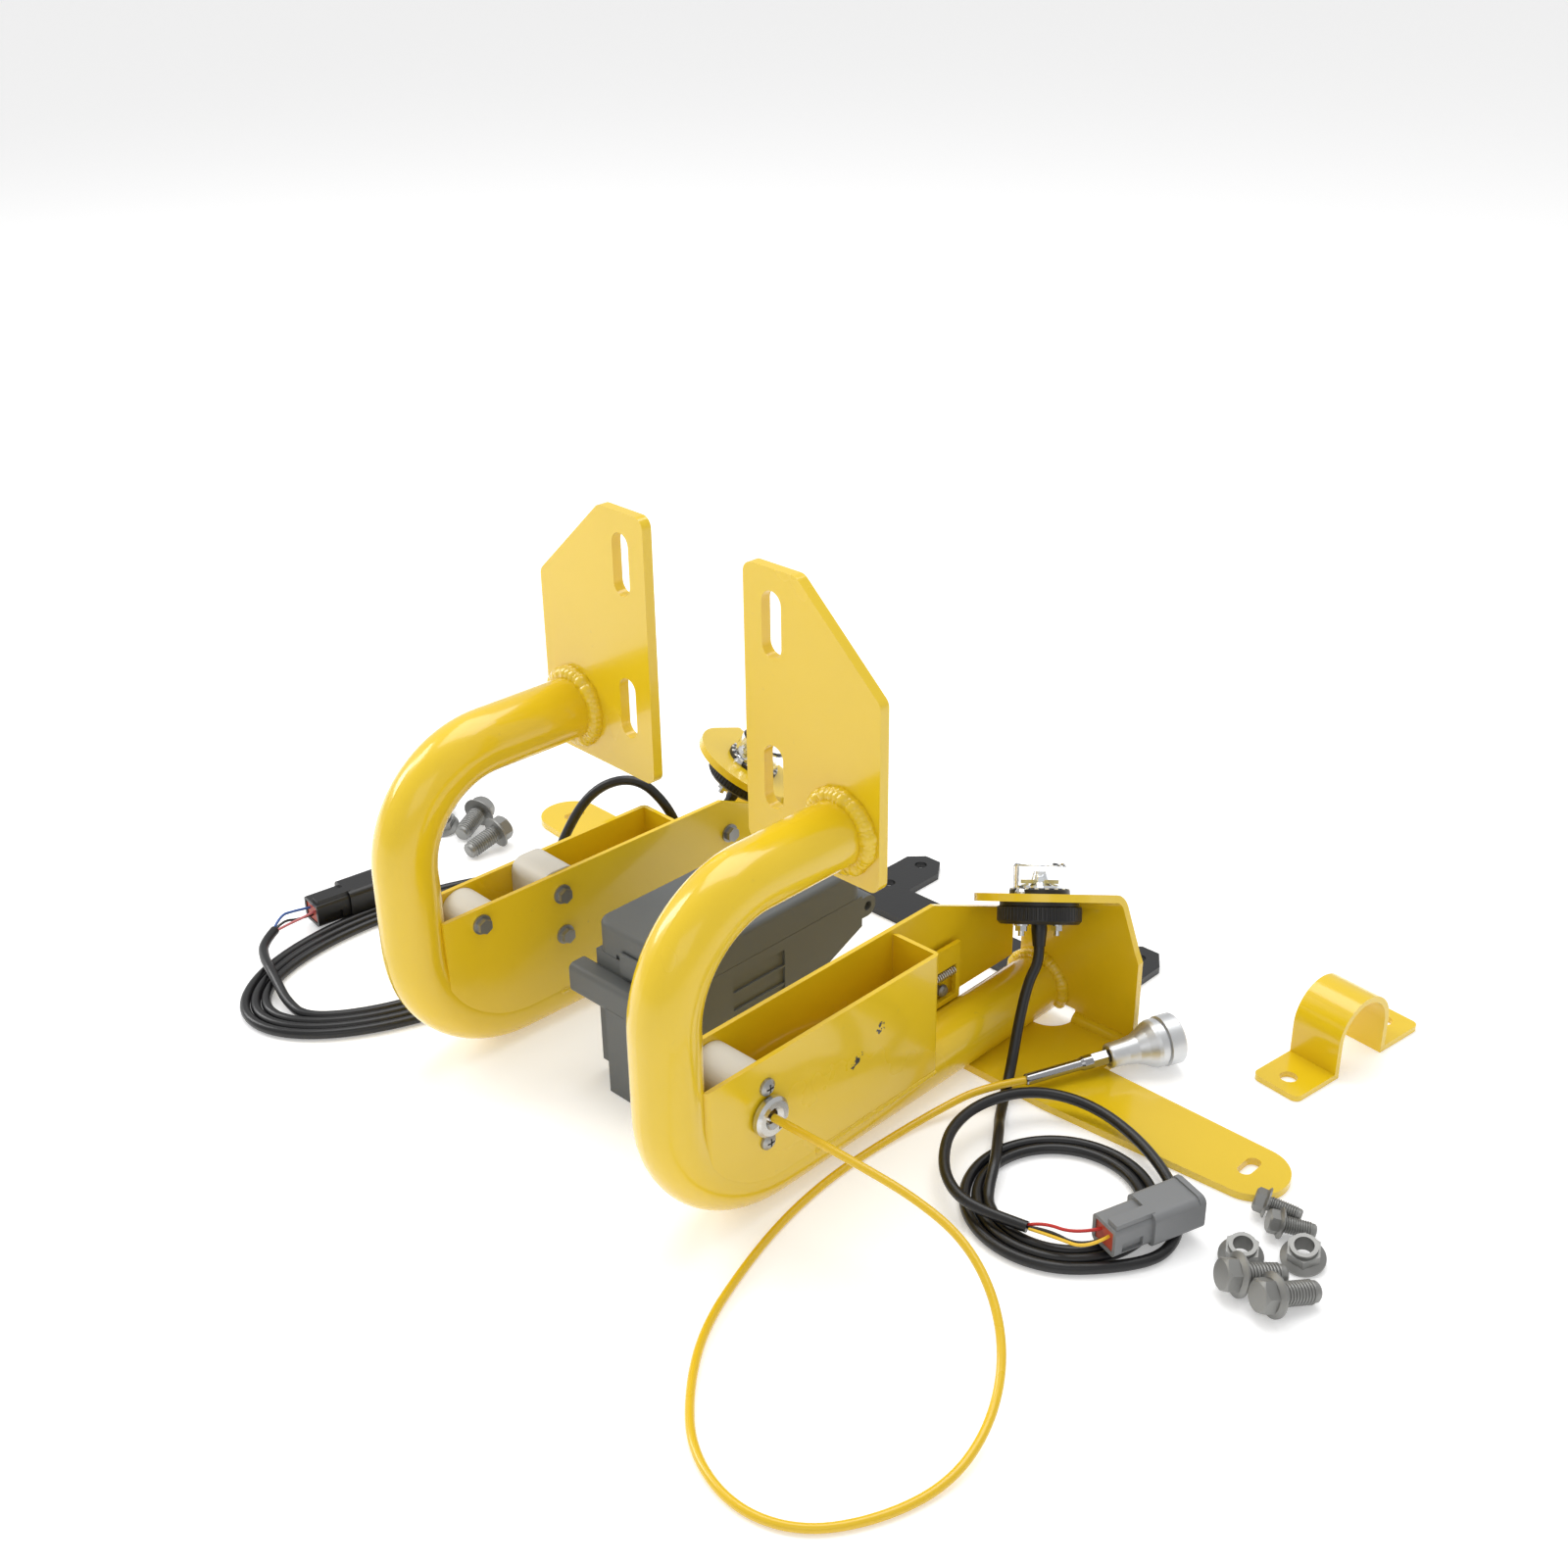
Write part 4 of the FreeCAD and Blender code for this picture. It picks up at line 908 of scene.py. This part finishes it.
# ------------------------------------------------------------------ stage
@dataclass
class Studio:
    """Pale floor, soft lights and the camera."""
    camera_at: Point = (645.19, -560.25, 729.53)
    azimuth: float = 44.66
    elevation: float = 27.23
    roll: float = -0.85
    lens: float = 44.6
    sensor: float = 36.0

    def camera(self) -> None:
        """Set up the camera from its place, bearing and roll."""
        az, el, roll = (math.radians(v) for v in (self.azimuth, self.elevation, self.roll))
        ahead = Vector((-math.sin(az) * math.cos(el), math.cos(az) * math.cos(el), -math.sin(el)))
        right = Vector((math.cos(az), math.sin(az), 0))
        up = right.cross(ahead)
        tilted = right * math.cos(roll) + up * math.sin(roll)
        upright = up * math.cos(roll) - right * math.sin(roll)
        data = bpy.data.cameras.new("view")
        data.lens = self.lens
        data.sensor_width = self.sensor
        data.clip_end = 50
        camera = bpy.data.objects.new("view", data)
        turn = Matrix((tilted, upright, -ahead)).transposed().to_4x4()
        camera.matrix_world = Matrix.Translation(place(self.camera_at)) @ turn
        bpy.context.collection.objects.link(camera)
        bpy.context.scene.camera = camera

    def floor(self) -> None:
        """Lay the pale floor."""
        half = 14.0
        mesh = bpy.data.meshes.new("floor")
        corners = ((-half, -half), (half, -half), (half, half), (-half, half))
        mesh.from_pydata([(*corner, -0.0003) for corner in corners], [], [(0, 1, 2, 3)])
        piece = bpy.data.objects.new("floor", mesh)
        material = bpy.data.materials.new("pale_floor")
        material.use_nodes = True
        shader = material.node_tree.nodes["Principled BSDF"]
        shader.inputs["Base Color"].default_value = (0.88, 0.88, 0.88, 1)
        shader.inputs["Roughness"].default_value = 0.6
        shader.inputs["Specular IOR Level"].default_value = 0.2
        shader.inputs["Emission Color"].default_value = (1, 1, 1, 1)
        shader.inputs["Emission Strength"].default_value = 0.28
        mesh.materials.append(material)
        bpy.context.collection.objects.link(piece)

    def light(self, name: str, spot: Point, size: tuple[float, float], power: float) -> None:
        """Args:
            name: the light's name.
            spot: its place in metres in the row frame.
            size: its width and height in metres.
            power: its power in watts.
        """
        data = bpy.data.lights.new(name, "AREA")
        data.shape = "RECTANGLE"
        data.size, data.size_y = size
        data.energy = power
        lamp = bpy.data.objects.new(name, data)
        lamp.location = spot
        lamp.rotation_euler = (Vector((0, 0, 0.1)) - Vector(spot)).to_track_quat("-Z", "Y").to_euler()
        bpy.context.collection.objects.link(lamp)

    def build(self) -> None:
        """Set up the whole stage."""
        self.camera()
        self.floor()
        world = bpy.data.worlds.new("studio")
        world.use_nodes = True
        world.node_tree.nodes["Background"].inputs["Color"].default_value = (1, 1, 1, 1)
        world.node_tree.nodes["Background"].inputs["Strength"].default_value = 0.66
        bpy.context.scene.world = world
        bpy.context.scene.view_settings.view_transform = "Standard"
        self.light("overhead", (-0.3, 0.5, 2.4), (2.2, 1.6), 34)
        self.light("left_bank", (-2.0, -0.9, 1.5), (0.7, 1.6), 24)
        self.light("front_fill", (1.6, -1.8, 1.6), (1.6, 1.2), 5)


def main() -> None:
    """Build every sub-assembly in order."""
    logging.basicConfig(level=logging.INFO, format="%(name)s: %(message)s")
    paints = Paintbox()
    shop = Workshop(paints)
    for side in Side:
        arm = HookArm(side)
        arm.dress(paints)
        arm.build(shop)
        Lead(side, paints).build()
    TripSwitch().dress(paints)
    TripCable().build(paints)
    ControlBox().dress(paints)
    hardware = LooseHardware()
    hardware.dress(paints)
    hardware.build(shop)
    Studio().build()


if __name__ == "__main__":
    main()
